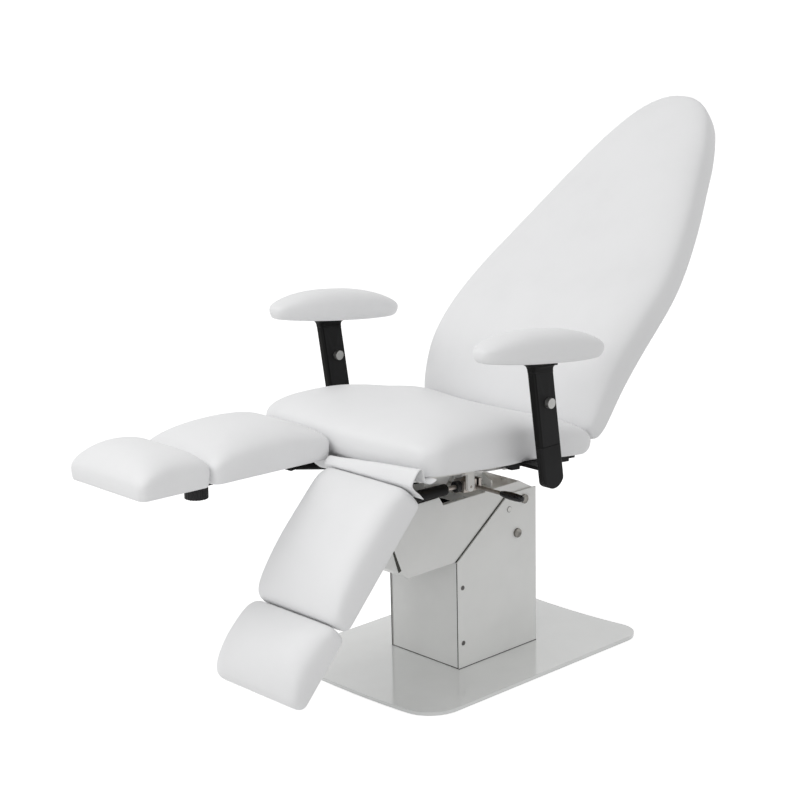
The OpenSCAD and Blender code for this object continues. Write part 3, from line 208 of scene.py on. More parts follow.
def paint_material(name, color, rough, coat, grain, bevel=0.0012, edge_highlight=None, spec=0.5):
    """Powder or gloss paint with orange peel. A colour given for its sharp edges lightens them there, a
    painted highlight.
    """
    m, nt, bsdf = new_material(name, color, rough, coat=coat, coat_rough=0.08, spec=spec)
    v = coords(nt)
    broad = noise_tex(nt, v, scale=5.0, detail=4, rough=0.6)
    speck = noise_tex(nt, v, scale=900.0, detail=1)
    col = ramp_color(nt, broad, [(0.30, shade(color, 0.955)), (0.55, color), (0.80, shade(color, 1.035))])
    # Painted highlight: sharp convex edges blend up to half way towards the given lighter colour
    if edge_highlight:
        edge = node(nt, "ShaderNodeNewGeometry")
        sharp = remap(nt, edge.outputs["Pointiness"], lo=0.0, hi=0.5, from_lo=0.52, from_hi=0.60)
        blend = node(nt, "ShaderNodeMix", data_type="RGBA")
        nt.links.new(sharp, blend.inputs[MIX_FACTOR])
        nt.links.new(col, blend.inputs[MIX_A])
        blend.inputs[MIX_B].default_value = (*edge_highlight, 1)
        col = blend.outputs[MIX_RESULT]
    nt.links.new(col, bsdf.inputs["Base Color"])
    nt.links.new(remap(nt, speck, rough * 0.85, rough * 1.2), bsdf.inputs["Roughness"])
    peel = noise_tex(nt, v, scale=260.0, detail=2)
    add_bump(nt, bsdf, [(peel, grain, 0.0004), (speck, grain * 0.5, 0.0002)], bevel)
    return m


def metal_material(name, color, rough, streak=(1, 1, 1), blotch=0.08, bevel=0.0006):
    """Bare metal. Streak stretches its drawing lines, and blotch is how uneven its tone is."""
    m, nt, bsdf = new_material(name, color, rough, metallic=1.0)
    v = coords(nt)
    lines = noise_tex(nt, coords(nt, streak), scale=900.0, detail=2, rough=0.6)
    broad = noise_tex(nt, v, scale=60.0, detail=4, rough=0.6)
    stops = [(0.3, shade(color, 1 - 2 * blotch)), (0.55, color), (0.8, shade(color, 1 + blotch))]
    nt.links.new(ramp_color(nt, broad, stops), bsdf.inputs["Base Color"])
    nt.links.new(remap(nt, lines, rough * 0.8, rough * 1.35), bsdf.inputs["Roughness"])
    add_bump(nt, bsdf, [(lines, 0.10, 0.0002)], bevel)
    return m


def plastic_material(name, color, rough, grain=0.25, spec=0.5):
    m, nt, bsdf = new_material(name, color, rough, spec=spec)
    v = coords(nt)
    tex = noise_tex(nt, v, scale=1100.0, detail=2, rough=0.6)
    broad = noise_tex(nt, v, scale=25.0, detail=3)
    stops = [(0.3, shade(color, 0.8)), (0.6, color), (0.85, shade(color, 1.3))]
    nt.links.new(ramp_color(nt, broad, stops), bsdf.inputs["Base Color"])
    nt.links.new(remap(nt, tex, rough * 0.85, rough * 1.15), bsdf.inputs["Roughness"])
    add_bump(nt, bsdf, [(tex, grain, 0.0003)], 0.0008)
    return m


def plywood_material(name):
    m, nt, bsdf = new_material(name, (0.62, 0.47, 0.31), 0.6)
    grain = noise_tex(nt, coords(nt, (9, 1, 60)), scale=14.0, detail=5, rough=0.65, distortion=1.2)
    stops = [(0.3, (0.42, 0.29, 0.17)), (0.5, (0.60, 0.45, 0.29)), (0.75, (0.72, 0.58, 0.41))]
    nt.links.new(ramp_color(nt, grain, stops), bsdf.inputs["Base Color"])
    nt.links.new(remap(nt, grain, lo=0.5, hi=0.72), bsdf.inputs["Roughness"])
    add_bump(nt, bsdf, [(grain, 0.2, 0.0006)])
    return m


MATS = {
    "vinyl": vinyl_material("vinyl"),
    "base_paint": paint_material("base_paint", (0.83, 0.84, 0.83), rough=0.16, coat=0.75, grain=0.015,
                                 bevel=0.0015),
    "grey_paint": paint_material("grey_paint", (0.85, 0.855, 0.84), rough=0.34, coat=0.18, grain=0.05),
    # Black paint with a painted highlight on its sharp edges
    "dark_paint": paint_material("dark_paint", (0.0045, 0.0045, 0.0043), rough=0.52, coat=0.0, grain=0.10,
                                 edge_highlight=(0.030, 0.030, 0.031), spec=0.09),
    "black_plastic": plastic_material("black_plastic", (0.012, 0.012, 0.013), rough=0.42, spec=0.25),
    "steel": metal_material("steel", (0.50, 0.495, 0.485), rough=0.30, streak=(1, 1, 0.02)),
    "warm_steel": metal_material("warm_steel", (0.37, 0.34, 0.315), rough=0.40, streak=(0.02, 1, 1),
                                 blotch=0.16),
    "cap": plastic_material("cap", (0.74, 0.74, 0.72), rough=0.35, grain=0.1),
    "plywood": plywood_material("plywood"),
    "rubber": plastic_material("rubber", (0.009, 0.009, 0.010), rough=0.26, grain=0.06, spec=0.3),
}
slot_of = {p["node"]: p["material_slot"] for p in frame["record"]["subparts"]}
for name, obj in nodes.items():
    obj.data.materials.clear()
    obj.data.materials.append(MATS[slot_of[name]])


# Mesh helpers
def make_object(name, verts, faces, material, body, smooth=True):
    me = bpy.data.meshes.new(name)
    me.from_pydata([tuple(float(c) for c in v) for v in verts], [], [tuple(int(i) for i in f) for f in faces])
    me.validate()
    me.update()
    if smooth:
        me.polygons.foreach_set("use_smooth", [True] * len(me.polygons))
    ob = bpy.data.objects.new(name, me)
    bpy.context.scene.collection.objects.link(ob)
    ob.data.materials.append(material)
    if body:
        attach(ob, body)
    return ob


def ring_faces(rings, n, joined=False):
    """Quads between neighbouring rings of n points, also from the last to the first where they are joined."""
    links = [(k, (k + 1) % rings) for k in range(rings if joined else rings - 1)]
    return [(a * n + i, a * n + (i + 1) % n, b * n + (i + 1) % n, b * n + i)
            for a, b in links for i in range(n)]


def end_faces(rings, n):
    """The two flat faces that close the first and the last ring."""
    return [tuple(range(n))[::-1], tuple((rings - 1) * n + i for i in range(n))]


def rot_x(deg):
    a = math.radians(deg)
    return np.array([[1, 0, 0], [0, math.cos(a), -math.sin(a)], [0, math.sin(a), math.cos(a)]])


def seat_axes(p):
    return p @ rot_x(-SEAT_TILT).T + [0, 0, SEAT_Z]


def back_axes(p):
    return p @ rot_x(BACK_ANGLE).T + [0, BACK_AT[0], BACK_AT[1]]


def leg_axes(side):
    drop = (LEFT_DROP if side > 0 else 0) - LEG_RISE
    return lambda p: p @ rot_x(drop).T + [side * LEG_X, HINGE[0], HINGE[1]]


def post_axes(side):
    return lambda p: p @ rot_x(POST_LEAN).T + [side * ARM_X, POST_FOOT[0], POST_FOOT[1]]


def rounded_outline(a, b, r, c, arc=22, side=16):
    """Rectangle of half sizes a and b round c, corners of radius r, counterclockwise."""
    pts = []
    for q in range(4):
        sx, sy = (1 if q in (0, 3) else -1), (1 if q < 2 else -1)
        m = np.array([c[0] + sx * (a - r), c[1] + sy * (b - r)])
        nxt = (q + 1) % 4
        nx, ny = (1 if nxt in (0, 3) else -1), (1 if nxt < 2 else -1)
        n = np.array([c[0] + nx * (a - r), c[1] + ny * (b - r)])
        for k in range(arc):
            t = math.radians(90 * (q + k / arc))
            pts.append(m + r * np.array([math.cos(t), math.sin(t)]))
        t = math.radians(90 * (q + 1))
        d = r * np.array([math.cos(t), math.sin(t)])
        for k in range(side):
            u = k / side
            pts.append((m + d) * (1 - u) + (n + d) * u)
    return np.array(pts)


def oval_outline(a, b, p, steps):
    """Superellipse of half sizes a and b and power p."""
    t = np.radians(360 * np.arange(steps) / steps)
    c, s = np.cos(t), np.sin(t)
    return np.c_[a * np.sign(c) * np.abs(c) ** (2 / p), b * np.sign(s) * np.abs(s) ** (2 / p)]


def resample(o, n):
    """The closed outline o again, with n points at equal steps."""
    q = np.vstack([o, o[:1]])
    d = np.r_[0, np.cumsum(np.linalg.norm(np.diff(q, axis=0), axis=1))]
    t = np.linspace(0, d[-1], n, endpoint=False)
    return np.c_[np.interp(t, d, q[:, 0]), np.interp(t, d, q[:, 1])]


def spline_loop(o, per):
    """Centripetal spline through the closed outline o, with per points to each span."""
    n, out = len(o), []
    for k in range(n):
        a, b, c, d = o[k - 1], o[k], o[(k + 1) % n], o[(k + 2) % n]
        t1 = np.linalg.norm(b - a) ** 0.5
        t2 = t1 + np.linalg.norm(c - b) ** 0.5
        t3 = t2 + np.linalg.norm(d - c) ** 0.5
        for i in range(per):
            t = t1 + (t2 - t1) * i / per
            a1 = a * (t1 - t) / t1 + b * t / t1
            a2 = b * (t2 - t) / (t2 - t1) + c * (t - t1) / (t2 - t1)
            a3 = c * (t3 - t) / (t3 - t2) + d * (t - t2) / (t3 - t2)
            b1 = a1 * (t2 - t) / t2 + a2 * t / t2
            b2 = a2 * (t3 - t) / (t3 - t1) + a3 * (t - t1) / (t3 - t1)
            out.append(b1 * (t2 - t) / (t2 - t1) + b2 * (t - t1) / (t2 - t1))
    return np.array(out)


def inward(o):
    """Unit normals of a counterclockwise outline, towards its inside."""
    q = np.roll(o, -1, 0) - np.roll(o, 1, 0)
    n = np.c_[-q[:, 1], q[:, 0]]
    return n / np.linalg.norm(n, axis=1)[:, None]


def smooth_ring(r, times):
    for _ in range(times):
        r = 0.5 * r + 0.25 * (np.roll(r, 1, 0) + np.roll(r, -1, 0))
    return r


def smooth_min(a, b, k):
    return -k * np.log(np.exp(-a / k) + np.exp(-b / k))


def swell(v, at, reach):
    """1 at the named place, fading to 0 over its reach on both sides."""
    return np.exp(-((v - at) / reach) ** 2)


# Cushions: the widest line lies at WAIST of the height, and the cover puckers a little below it
WAIST = 0.42
PUCKER_AT = 0.12
PUCKER_REACH = 0.14
PUCKER_RATE = 22
PUCKER_SLICE = 3.1
PUCKER_SIDE = 0.25
PUCKER_MEAN = 0.5
CORNER_SPREAD = 10
WAVE = 0.0011
WAVE_RATE = 6.5


def cushion_rings(o, c, tuck, power, under, lower, upper, soft):
    """Outlines from the middle of the underside over the waist to the top, with shares of the height."""
    n_in = inward(o)
    step = np.linalg.norm(o - np.roll(o, 1, 0), axis=1).sum() / len(o)
    base = o + n_in * tuck
    rings = [(c + (base - c) * (i / (under + 1)), 0.0) for i in range(1, under + 1)]
    for k in range(lower):
        b = math.radians(90 * (1 - k / lower))
        rings.append((o + n_in * tuck * (1 - math.cos(b)), WAIST * (1 - math.sin(b))))
    for k in range(upper):
        b = math.radians(90 * k / upper)
        up = math.sin(b) ** (2 / power)
        rounding = int(round((soft * up) ** 2 / (0.5 * step ** 2)))
        narrow = math.cos(b) ** (2 / power)
        rings.append((c + (smooth_ring(o, rounding) - c) * narrow, WAIST + (1 - WAIST) * up))
    return rings


def cushion(name, o, c, tuck, power, height, bend, place, body, material, cad,
            seed=0.0, pucker=0.0011, under=8, lower=8, upper=26, soft=0.022):
    """A domed closed cushion over the outline o, whose underside is drawn in by tuck."""
    c = np.array(c)
    n_in = inward(o)
    n = len(o)
    length = np.linalg.norm(o - np.roll(o, 1, 0), axis=1).sum()
    rings = cushion_rings(o, c, tuck, power, under, lower, upper, soft)
    bend_rate = np.linalg.norm(np.roll(n_in, -2, 0) - np.roll(n_in, 2, 0), axis=1)
    corner = smooth_ring((bend_rate / bend_rate.max())[:, None], CORNER_SPREAD)[:, 0]
    fold = np.array([noise.noise((seed + math.cos(2 * math.pi * a) * length * PUCKER_RATE,
                                  seed + math.sin(2 * math.pi * a) * length * PUCKER_RATE, PUCKER_SLICE))
                     for a in np.linspace(0, 1, n, endpoint=False)])
    verts = []
    for xy, share in rings:
        z = height(xy) * share + bend(xy)
        low = swell(share, PUCKER_AT, PUCKER_REACH) if share > 0 else 0.0
        depth = pucker * low * (PUCKER_SIDE + corner) * (PUCKER_MEAN + fold)
        verts.append(np.c_[xy + n_in * depth[:, None], z])
    m = len(verts)
    under_mid = np.array([[c[0], c[1], bend(c[None])[0]]])
    crown = np.array([[c[0], c[1], height(c[None])[0] + bend(c[None])[0]]])
    v = np.vstack(verts + [under_mid, crown])
    broad = np.array([noise.noise(Vector(p * WAVE_RATE) + Vector((seed, -seed, seed))) for p in v])
    v[:, 2] += WAVE * broad * np.r_[np.repeat([share for _, share in rings], n), 0, 1]
    faces = ring_faces(m, n)
    for i in range(n):
        j = (i + 1) % n
        faces.append((j, i, m * n))
        faces.append(((m - 1) * n + i, (m - 1) * n + j, m * n + 1))
    ob = make_object(name, place(v), faces, material, body)
    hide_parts(cad)
    return ob


def no_bend(p):
    return np.zeros(len(p))


# Seat: it falls forward and back from the line at SEAT_PEAK, with a hollow behind it and raised rear corners
SEAT_PEAK = -0.175
SEAT_FRONT_FALL = 0.22
SEAT_REAR_FALL = 0.30
SEAT_REAR_POWER = 1.7
SEAT_HOLLOW = 0.024
REAR_EDGE = 0.019
REAR_SLOPE = 0.816
REAR_CORNER = 0.036
REAR_CORNER_POWER = 9
REAR_ROUNDING = 0.0035

# Its outline: corner radius, points, bow of the front edge, and the narrow place beside the arm posts
SEAT_CORNER = 0.046
SEAT_POINTS = 260
SEAT_BOW = 0.006
PINCH = 0.055
PINCH_Y = -0.030
PINCH_REACH = 0.060
SEAT_SEED = 3.1


def seat_height(p):
    x, y = np.abs(p[:, 0]) * 2 / SEAT_W, p[:, 1]
    ahead = y < SEAT_PEAK
    front_y = SEAT_Y1 - SEAT_L
    u = np.where(ahead, (y - SEAT_PEAK) / (SEAT_PEAK - front_y), (y - SEAT_PEAK) / (SEAT_Y1 - SEAT_PEAK))
    drop = np.where(ahead, SEAT_FRONT_FALL * u * u, SEAT_REAR_FALL * np.abs(u) ** SEAT_REAR_POWER)
    crown = SEAT_T * (1 - drop) - SEAT_HOLLOW * np.where(ahead, 0, u) * (1 - x ** 2)
    rear = REAR_EDGE + REAR_SLOPE * (SEAT_Y1 - y) + REAR_CORNER * x ** REAR_CORNER_POWER
    return smooth_min(crown, rear, REAR_ROUNDING)


def seat_outline(mid):
    o = resample(rounded_outline(SEAT_W / 2, SEAT_L / 2, SEAT_CORNER, (0, mid)), SEAT_POINTS)
    front = o[:, 1] < mid
    o[front, 1] -= SEAT_BOW * (1 - (o[front, 0] * 2 / SEAT_W) ** 2)
    o[:, 0] *= 1 - PINCH * swell(o[:, 1], PINCH_Y, PINCH_REACH)
    return o


seat_mid = SEAT_Y1 - SEAT_L / 2
cushion("seat_upholstery", seat_outline(seat_mid), (0, seat_mid), tuck=0.014, power=3.1, height=seat_height,
        bend=no_bend, place=seat_axes, body="carrier", material=vinyl_material("vinyl_seat", SEAT_SEED),
        cad="seat_cushion", seed=SEAT_SEED)

# Backrest outline: share of the length, and the width there as a share of the full width
BACK_SHARES = [(0, 0.8), (0.003, 0.87), (0.012, 0.92), (0.035, 0.953), (0.08, 0.98), (0.16, 1), (0.25, 1),
               (0.34, 0.985), (0.42, 0.955), (0.5, 0.9), (0.58, 0.83), (0.66, 0.75), (0.74, 0.66),
               (0.82, 0.57), (0.885, 0.475), (0.94, 0.37), (0.98, 0.235), (0.998, 0.1)]
BACK_POINTS = 300
BACK_SPAN_POINTS = 10
BACK_MID = 0.42
BACK_SEED = 8.7

# Its curve: the lumbar swell stands out, and the lower end is set back and thinner
LUMBAR_AT = 0.185
LUMBAR_REACH = 0.190
LUMBAR_OUT = 0.024
LUMBAR_T = 0.008
BACK_SET = 0.004
HEEL_REACH = 0.080
HEEL_BACK = 0.019
HEEL_THIN = 0.11
EDGE_THIN = 0.06


def back_outline():
    half = [(w * BACK_W / 2, v * BACK_L) for v, w in BACK_SHARES]
    loop = np.array([(0, 0)] + half + [(0, BACK_L)] + [(-x, y) for x, y in reversed(half)])
    return resample(spline_loop(loop, BACK_SPAN_POINTS), BACK_POINTS)


def back_curve(p):
    v = p[:, 1]
    return LUMBAR_OUT * swell(v, LUMBAR_AT, LUMBAR_REACH) - BACK_SET - HEEL_BACK * swell(v, 0, HEEL_REACH)


def back_height(p):
    x, v = p[:, 0], p[:, 1]
    thin = EDGE_THIN * (((v - BACK_L / 2) * 2 / BACK_L) ** 2 + (x * 2 / BACK_W) ** 2)
    low = HEEL_THIN * swell(v, 0, HEEL_REACH)
    return BACK_T * (1 - thin - low) + LUMBAR_T * swell(v, LUMBAR_AT, LUMBAR_REACH)


cushion("backrest_upholstery", back_outline(), (0, BACK_L * BACK_MID), tuck=0.006, power=3.0,
        height=back_height, bend=back_curve, place=lambda p: back_axes(p + [0, BACK_V0, BACK_N0]),
        body="backrest", material=vinyl_material("vinyl_back", BACK_SEED), cad="backrest_cushion",
        seed=BACK_SEED, under=14, upper=30, soft=0.03)

# Leg rests: how far each cushion falls at its hinge end and far end, and the power of its cross-section
LEG_CORNER = 0.020
LEG_POINTS = 220
LEG_TUCK = 0.004
LEG_SIDE_FALL = 0.03
CALF_NEAR_FALL = {"left": 0.08, "right": 0.22}
CALF_FAR_FALL = 0.28
CALF_POWER = {"left": 3.8, "right": 2.8}
FOOT_FALLS = (0.2, 0.34)
FOOT_POWER = 3.0
CALF_SEED = 12.3
FOOT_SEED = 17.9


def leg_cushion(side, s0, length, thick, falls, power, label, body, seed):
    def height(p):
        end = np.where(p[:, 1] > 0, falls[0], falls[1])
        return thick * (1 - end * (p[:, 1] * 2 / length) ** 2 - LEG_SIDE_FALL * (p[:, 0] * 2 / LEG_W) ** 2)

    axes = leg_axes(side)
    o = resample(rounded_outline(LEG_W / 2, length / 2, LEG_CORNER, (0, 0)), LEG_POINTS)
    return cushion(f"{label}_upholstery", o, (0, 0), LEG_TUCK, power, height, no_bend,
                   place=lambda p: axes(p + [0, -s0 - length / 2, CUSHION_W0]), body=body,
                   material=vinyl_material(f"vinyl_{label}", seed), cad=f"{label}_cushion",
                   seed=seed, pucker=0.0010)


FOOT_S0 = CALF_S0 + CALF_L + LEG_GAP
for s, side in SIDES:
    leg_cushion(s, CALF_S0, CALF_L, CALF_T, (CALF_NEAR_FALL[side], CALF_FAR_FALL), CALF_POWER[side],
                f"{side}_calf", f"{side}_leg", CALF_SEED + s)
    leg_cushion(s, FOOT_S0, FOOT_L, FOOT_T, FOOT_FALLS, FOOT_POWER,
                f"{side}_foot", f"{side}_foot", FOOT_SEED + s)

# Arm pads: extra thickness in the middle, fall towards the ends, and both ends turned up, the front one more
PAD_CROWN = 0.003
PAD_FALL = 0.30
PAD_FALL_POWER = 2.4
PAD_ENDS_UP = 0.004
PAD_FRONT_UP = 0.003
PAD_OUTLINE_POWER = 2.7
PAD_POINTS = 200
PAD_TUCK = 0.012
PAD_POWER = 2.5
PAD_SEED = 23.7


def pad_height(p):
    return (PAD_T + PAD_CROWN) * (1 - PAD_FALL * np.abs(p[:, 1] * 2 / PAD_L) ** PAD_FALL_POWER)


def pad_bend(p):
    u = p[:, 1] * 2 / PAD_L
    return PAD_ENDS_UP * u ** 2 - PAD_FRONT_UP * u


for s, side in SIDES:
    pad_o = resample(oval_outline(PAD_W / 2, PAD_L / 2, PAD_OUTLINE_POWER, 2 * PAD_POINTS), PAD_POINTS)
    cushion(f"{side}_arm_pad_upholstery", pad_o, (0, 0), PAD_TUCK, PAD_POWER, pad_height, pad_bend,
            place=lambda p, s=s: p @ rot_x(-PAD_TILT).T + [s * PAD_X, PAD_AT[0], PAD_AT[1]],
            body=f"{side}_armrest", material=vinyl_material(f"vinyl_{side}_pad", PAD_SEED + s),
            cad=f"{side}_arm_pad", seed=PAD_SEED + s, pucker=0.0007)

# Flared collars under the arm pads: height up the collar, and how far it stands out from the sleeve
FLARE = [(0.0, 0.0004), (0.006, 0.0006), (0.010, 0.0016), (0.013, 0.0034), (0.0152, 0.006), (0.0162, 0.0092)]
COLLAR_DOWN = 0.0172
SLEEVE_CORNER = 0.006


def collar(side, s):
    axes = post_axes(s)
    slope = math.tan(math.radians(POST_LEAN + PAD_TILT))
    rings = []
    for h, out in FLARE:
        o = rounded_outline(POST_T / 2 + out, POST_W / 2 + out, SLEEVE_CORNER + out, (0, 0), arc=8, side=3)
        rings.append(np.c_[o, SLEEVE_L - COLLAR_DOWN + h - o[:, 1] * slope])
    m, n = len(rings), len(rings[0])
    return make_object(f"{side}_post_collar", axes(np.vstack(rings)), ring_faces(m, n) + end_faces(m, n),
                       MATS["dark_paint"], f"{side}_armrest")


button_metal = metal_material("button_metal", (0.40, 0.40, 0.39), rough=0.42, blotch=0.05)
pin_metal = metal_material("pin_metal", (0.27, 0.26, 0.24), rough=0.46, blotch=0.3)
# Panel screw heads: dark steel, their dark grey also standing as painted shade in their recesses
screw_steel_and_shade = plastic_material("screw_steel_and_shade", (0.10, 0.095, 0.09), rough=0.4, grain=0.3)
nodes["lift_pivot_pins"].data.materials[0] = pin_metal
nodes["panel_screws"].data.materials[0] = screw_steel_and_shade
for s, side in SIDES:
    collar(side, s)
    nodes[f"{side}_arm_button"].data.materials[0] = button_metal


# Turned rings
def lathe(name, profile, steps, place, material, body, joined=False):
    """Turns a profile of (place along the axis, radius) into a ring if joined, else with flat ends."""
    angles = [2 * math.pi * k / steps for k in range(steps)]
    verts = np.array([(h, r * math.cos(t), r * math.sin(t)) for h, r in profile for t in angles])
    m = len(profile)
    faces = ring_faces(m, steps, joined) + ([] if joined else end_faces(m, steps))
    return make_object(name, place(verts), faces, material, body)


# Black rings at the heads of the leg springs: where a spring starts in y and z, and the lug that it points to
SPRING_X = 0.118
SPRING_AT = (-0.111, 0.422)
SPRING_LUG = (-0.072, -0.020)
RING_FROM = 0.0152
RING_TO = 0.0262
RING_R = 0.0123
RING_EDGE = 0.0006
RING_STEPS = 40

for s, side in SIDES:
    lug = leg_axes(s)(np.array([[0.0, *SPRING_LUG]]))[0]
    d = np.array([lug[1] - SPRING_AT[0], lug[2] - SPRING_AT[1]])
    d /= np.linalg.norm(d)

    def on_spring(v, s=s, d=d):
        return np.c_[s * SPRING_X - v[:, 1], SPRING_AT[0] + v[:, 0] * d[0] - v[:, 2] * d[1],
                     SPRING_AT[1] + v[:, 0] * d[1] + v[:, 2] * d[0]]

    lathe(f"{side}_spring_ring",
          [(RING_FROM, RING_R - RING_EDGE), (RING_FROM + RING_EDGE, RING_R),
           (RING_TO - RING_EDGE, RING_R), (RING_TO, RING_R - RING_EDGE)],
          RING_STEPS, on_spring, MATS["black_plastic"], f"{side}_spring_ram")


# Flat strips for the seams and the slit that the photograph shows
STRIP_PROUD = 0.0003
STRIP_DEPTH = 0.0006


def strip(name, points, widths, normal, body, material):
    """A strip along the points, with its width at each, a little proud of the surface with this normal."""
    p, n = np.array(points, float), np.array(normal, float)
    across = np.cross(np.gradient(p, axis=0), n)
    across /= np.linalg.norm(across, axis=1)[:, None]
    half = across * np.array(widths)[:, None] / 2
    top, foot = n * STRIP_PROUD, n * STRIP_DEPTH
    corners = [p - half + top, p + half + top, p + half - foot, p - half - foot]
    verts = np.stack(corners, axis=1).reshape(-1, 3)
    faces = ring_faces(len(p), 4) + end_faces(len(p), 4)
    return make_object(name, verts, faces, material, body, smooth=False)


# Seams round the foot and up the front corners of the column. FRONT_SEAM is its half length and its y
SEAM_X = 0.105
SEAM_Y = 0.121
SEAM_Z = 0.0088
SEAM_W = 0.0013
FRONT_SEAM = (0.101, -0.119)
CORNER_X = 0.1032
CORNER_Z = (0.009, 0.248)
CORNER_W = 0.0020

# Slanting joint over the side panel, and the slit that widens down the hood, in y and z
SHIELD_X = 0.1013
SHIELD = ((0.0362, 0.3650), (-0.1204, 0.2494))
SHIELD_W = 0.0050
SLIT_X = 0.1005
SLIT = ((-0.3030, 0.3330), (-0.2913, 0.2986), (-0.2810, 0.2700))
SLIT_W = (0.0030, 0.0060, 0.0080)

# Painted shade: the near-black seam strips and the dark grey slit strips stand for the shadow in narrow gaps
# between the panels, not for dark parts
seam_shade = plastic_material("seam_shade", (0.010, 0.010, 0.010), rough=0.7, grain=0.2, spec=0.1)
slit_shade = plastic_material("slit_shade", (0.085, 0.085, 0.078), rough=0.7, grain=0.2, spec=0.1)

# Rings on the side panel: place in y and z, inner and outer radius, and look
# The first ring, in the slit's dark grey, is painted shade in the gap round the head it circles
PANEL_RINGS = (((0.038, 0.331), 0.0058, 0.0066, slit_shade),
               ((-0.106, 0.065), 0.0046, 0.0056, MATS["steel"]),
               ((-0.106, 0.190), 0.0046, 0.0056, MATS["steel"]))
PANEL_RING_X = (0.1051, 0.1056)
PANEL_RING_EDGE = 0.0002
PANEL_RING_STEPS = 32


def panel_ring(side, s, k):
    at, inner, outer, look = PANEL_RINGS[k]
    (low, top), edge = PANEL_RING_X, PANEL_RING_EDGE
    lathe(f"{side}_panel_ring_{k}", [(low, inner), (low, outer), (top, outer - edge), (top, inner + edge)],
          PANEL_RING_STEPS, lambda v: np.c_[s * v[:, 0], at[0] + v[:, 1], at[1] + s * v[:, 2]], look, "base",
          joined=True)


# Strips of painted shade along the gaps round the column foot, up its front corners, along the slanting panel
# edge and in the hood's slit
for s, side in SIDES:
    strip(f"{side}_foot_seam", [(s * SEAM_X, y, SEAM_Z) for y in (-SEAM_Y, 0, SEAM_Y)], [SEAM_W] * 3,
          (s, 0, 0), "base", seam_shade)
    strip(f"{side}_corner_seam", [(s * CORNER_X, -SEAM_Y, z) for z in CORNER_Z], [CORNER_W] * 2, (0, -1, 0),
          "base", seam_shade)
    strip(f"{side}_shield_seam", [(s * SHIELD_X, y, z) for y, z in SHIELD], [SHIELD_W] * 2, (s, 0, 0),
          "base", slit_shade)
    for k in range(len(PANEL_RINGS)):
        panel_ring(side, s, k)
    strip(f"{side}_hood_slit", [(s * SLIT_X, y, z) for y, z in SLIT], SLIT_W, (s, 0, 0), "carrier", slit_shade)
strip("front_foot_seam", [(x, FRONT_SEAM[1], SEAM_Z) for x in (-FRONT_SEAM[0], FRONT_SEAM[0])], [SEAM_W] * 2,
      (0, -1, 0), "base", seam_shade)


def catmull(q, steps):
    """Spline through the points q, with steps points to each span."""
    q, out = np.array(q, float), []
    for k in range(len(q) - 1):
        a, b, c, d = q[max(k - 1, 0)], q[k], q[k + 1], q[min(k + 2, len(q) - 1)]
        for i in range(steps):
            t = i / steps
            out.append(0.5 * (2 * b + (c - a) * t + (2 * a - 5 * b + 4 * c - d) * t * t
                              + (3 * b - a - 3 * c + d) * t ** 3))
    return np.array(out + [q[-1]])


# Vinyl flaps between the seat and the leg rests: each fold from the seat on, y and z in millimetres
FOLDS = {
    "left": [(-325, 508), (-332, 504), (-342, 503), (-352, 506), (-360, 513), (-366, 522), (-372, 531),
             (-381, 530), (-388, 519), (-390, 509), (-384, 501), (-375, 493), (-367, 485.5), (-360, 477)],
    "right": [(-325, 508), (-328, 498), (-336, 490), (-346, 487.5), (-355, 492), (-361, 500),
              (-364.5, 507.2)],
}
FOLD_STEPS = 9
FLAP_T = 0.0015
FLAP_COLS = 61
FLAP_FREE_POWER = 0.7
FLAP_WAVE = 0.0010
FLAP_WAVE_RATE = 26
FLAP_ROW_RATE = 0.07
FLAP_EDGE = 0.0012
FLAP_EDGE_POWER = 6
FLAP_SEED = 31

# The left flap's crest spreads and rises at the outer side and sinks at the inner one
CREST_Z = 0.531
CREST_REACH = 0.018
CREST_OUTER = np.array([0.004, 0.007])
CREST_OUTER_POWER = 1.4
CREST_INNER = np.array([0.0, 0.014])
CREST_INNER_POWER = 1.5
SPREAD = 0.010
CREST_SPREAD = 0.006

# The right flap hangs lower beside its middle
HANG_FROM = 0.036
HANG_OVER = 0.040
HANG_Z = 0.490
HANG_REACH = 0.009
HANG = np.array([0.0, -0.011])


def flap_point(s, at, normal, row, x, face, free):
    """The point at x across the flap on one of its faces, where free says how loose the row is."""
    wave = FLAP_WAVE * free * noise.noise((x * FLAP_WAVE_RATE + s * 5, row * FLAP_ROW_RATE, s * 2.0))
    edge = FLAP_EDGE * free * (abs(x) * 2 / LEG_W) ** FLAP_EDGE_POWER
    p = at + normal * (face * FLAP_T / 2 + wave - edge)
    out = 0.0
    if s > 0:
        crest = swell(at[1], CREST_Z, CREST_REACH)
        outer = max(0.0, x / LEG_W + 0.5)
        out = (SPREAD + CREST_SPREAD * crest) * max(0.0, 2 * outer - 1) ** 2
        p = p + (CREST_OUTER * outer ** CREST_OUTER_POWER
                 - CREST_INNER * (1 - outer) ** CREST_INNER_POWER) * crest
    else:
        hang = min(1.0, max(0.0, (abs(x) - HANG_FROM) / HANG_OVER))
        hang = hang * hang * (3 - 2 * hang)
        p = p + HANG * hang * free * swell(at[1], HANG_Z, HANG_REACH)
    return s * LEG_X + x + out, p[0], p[1]


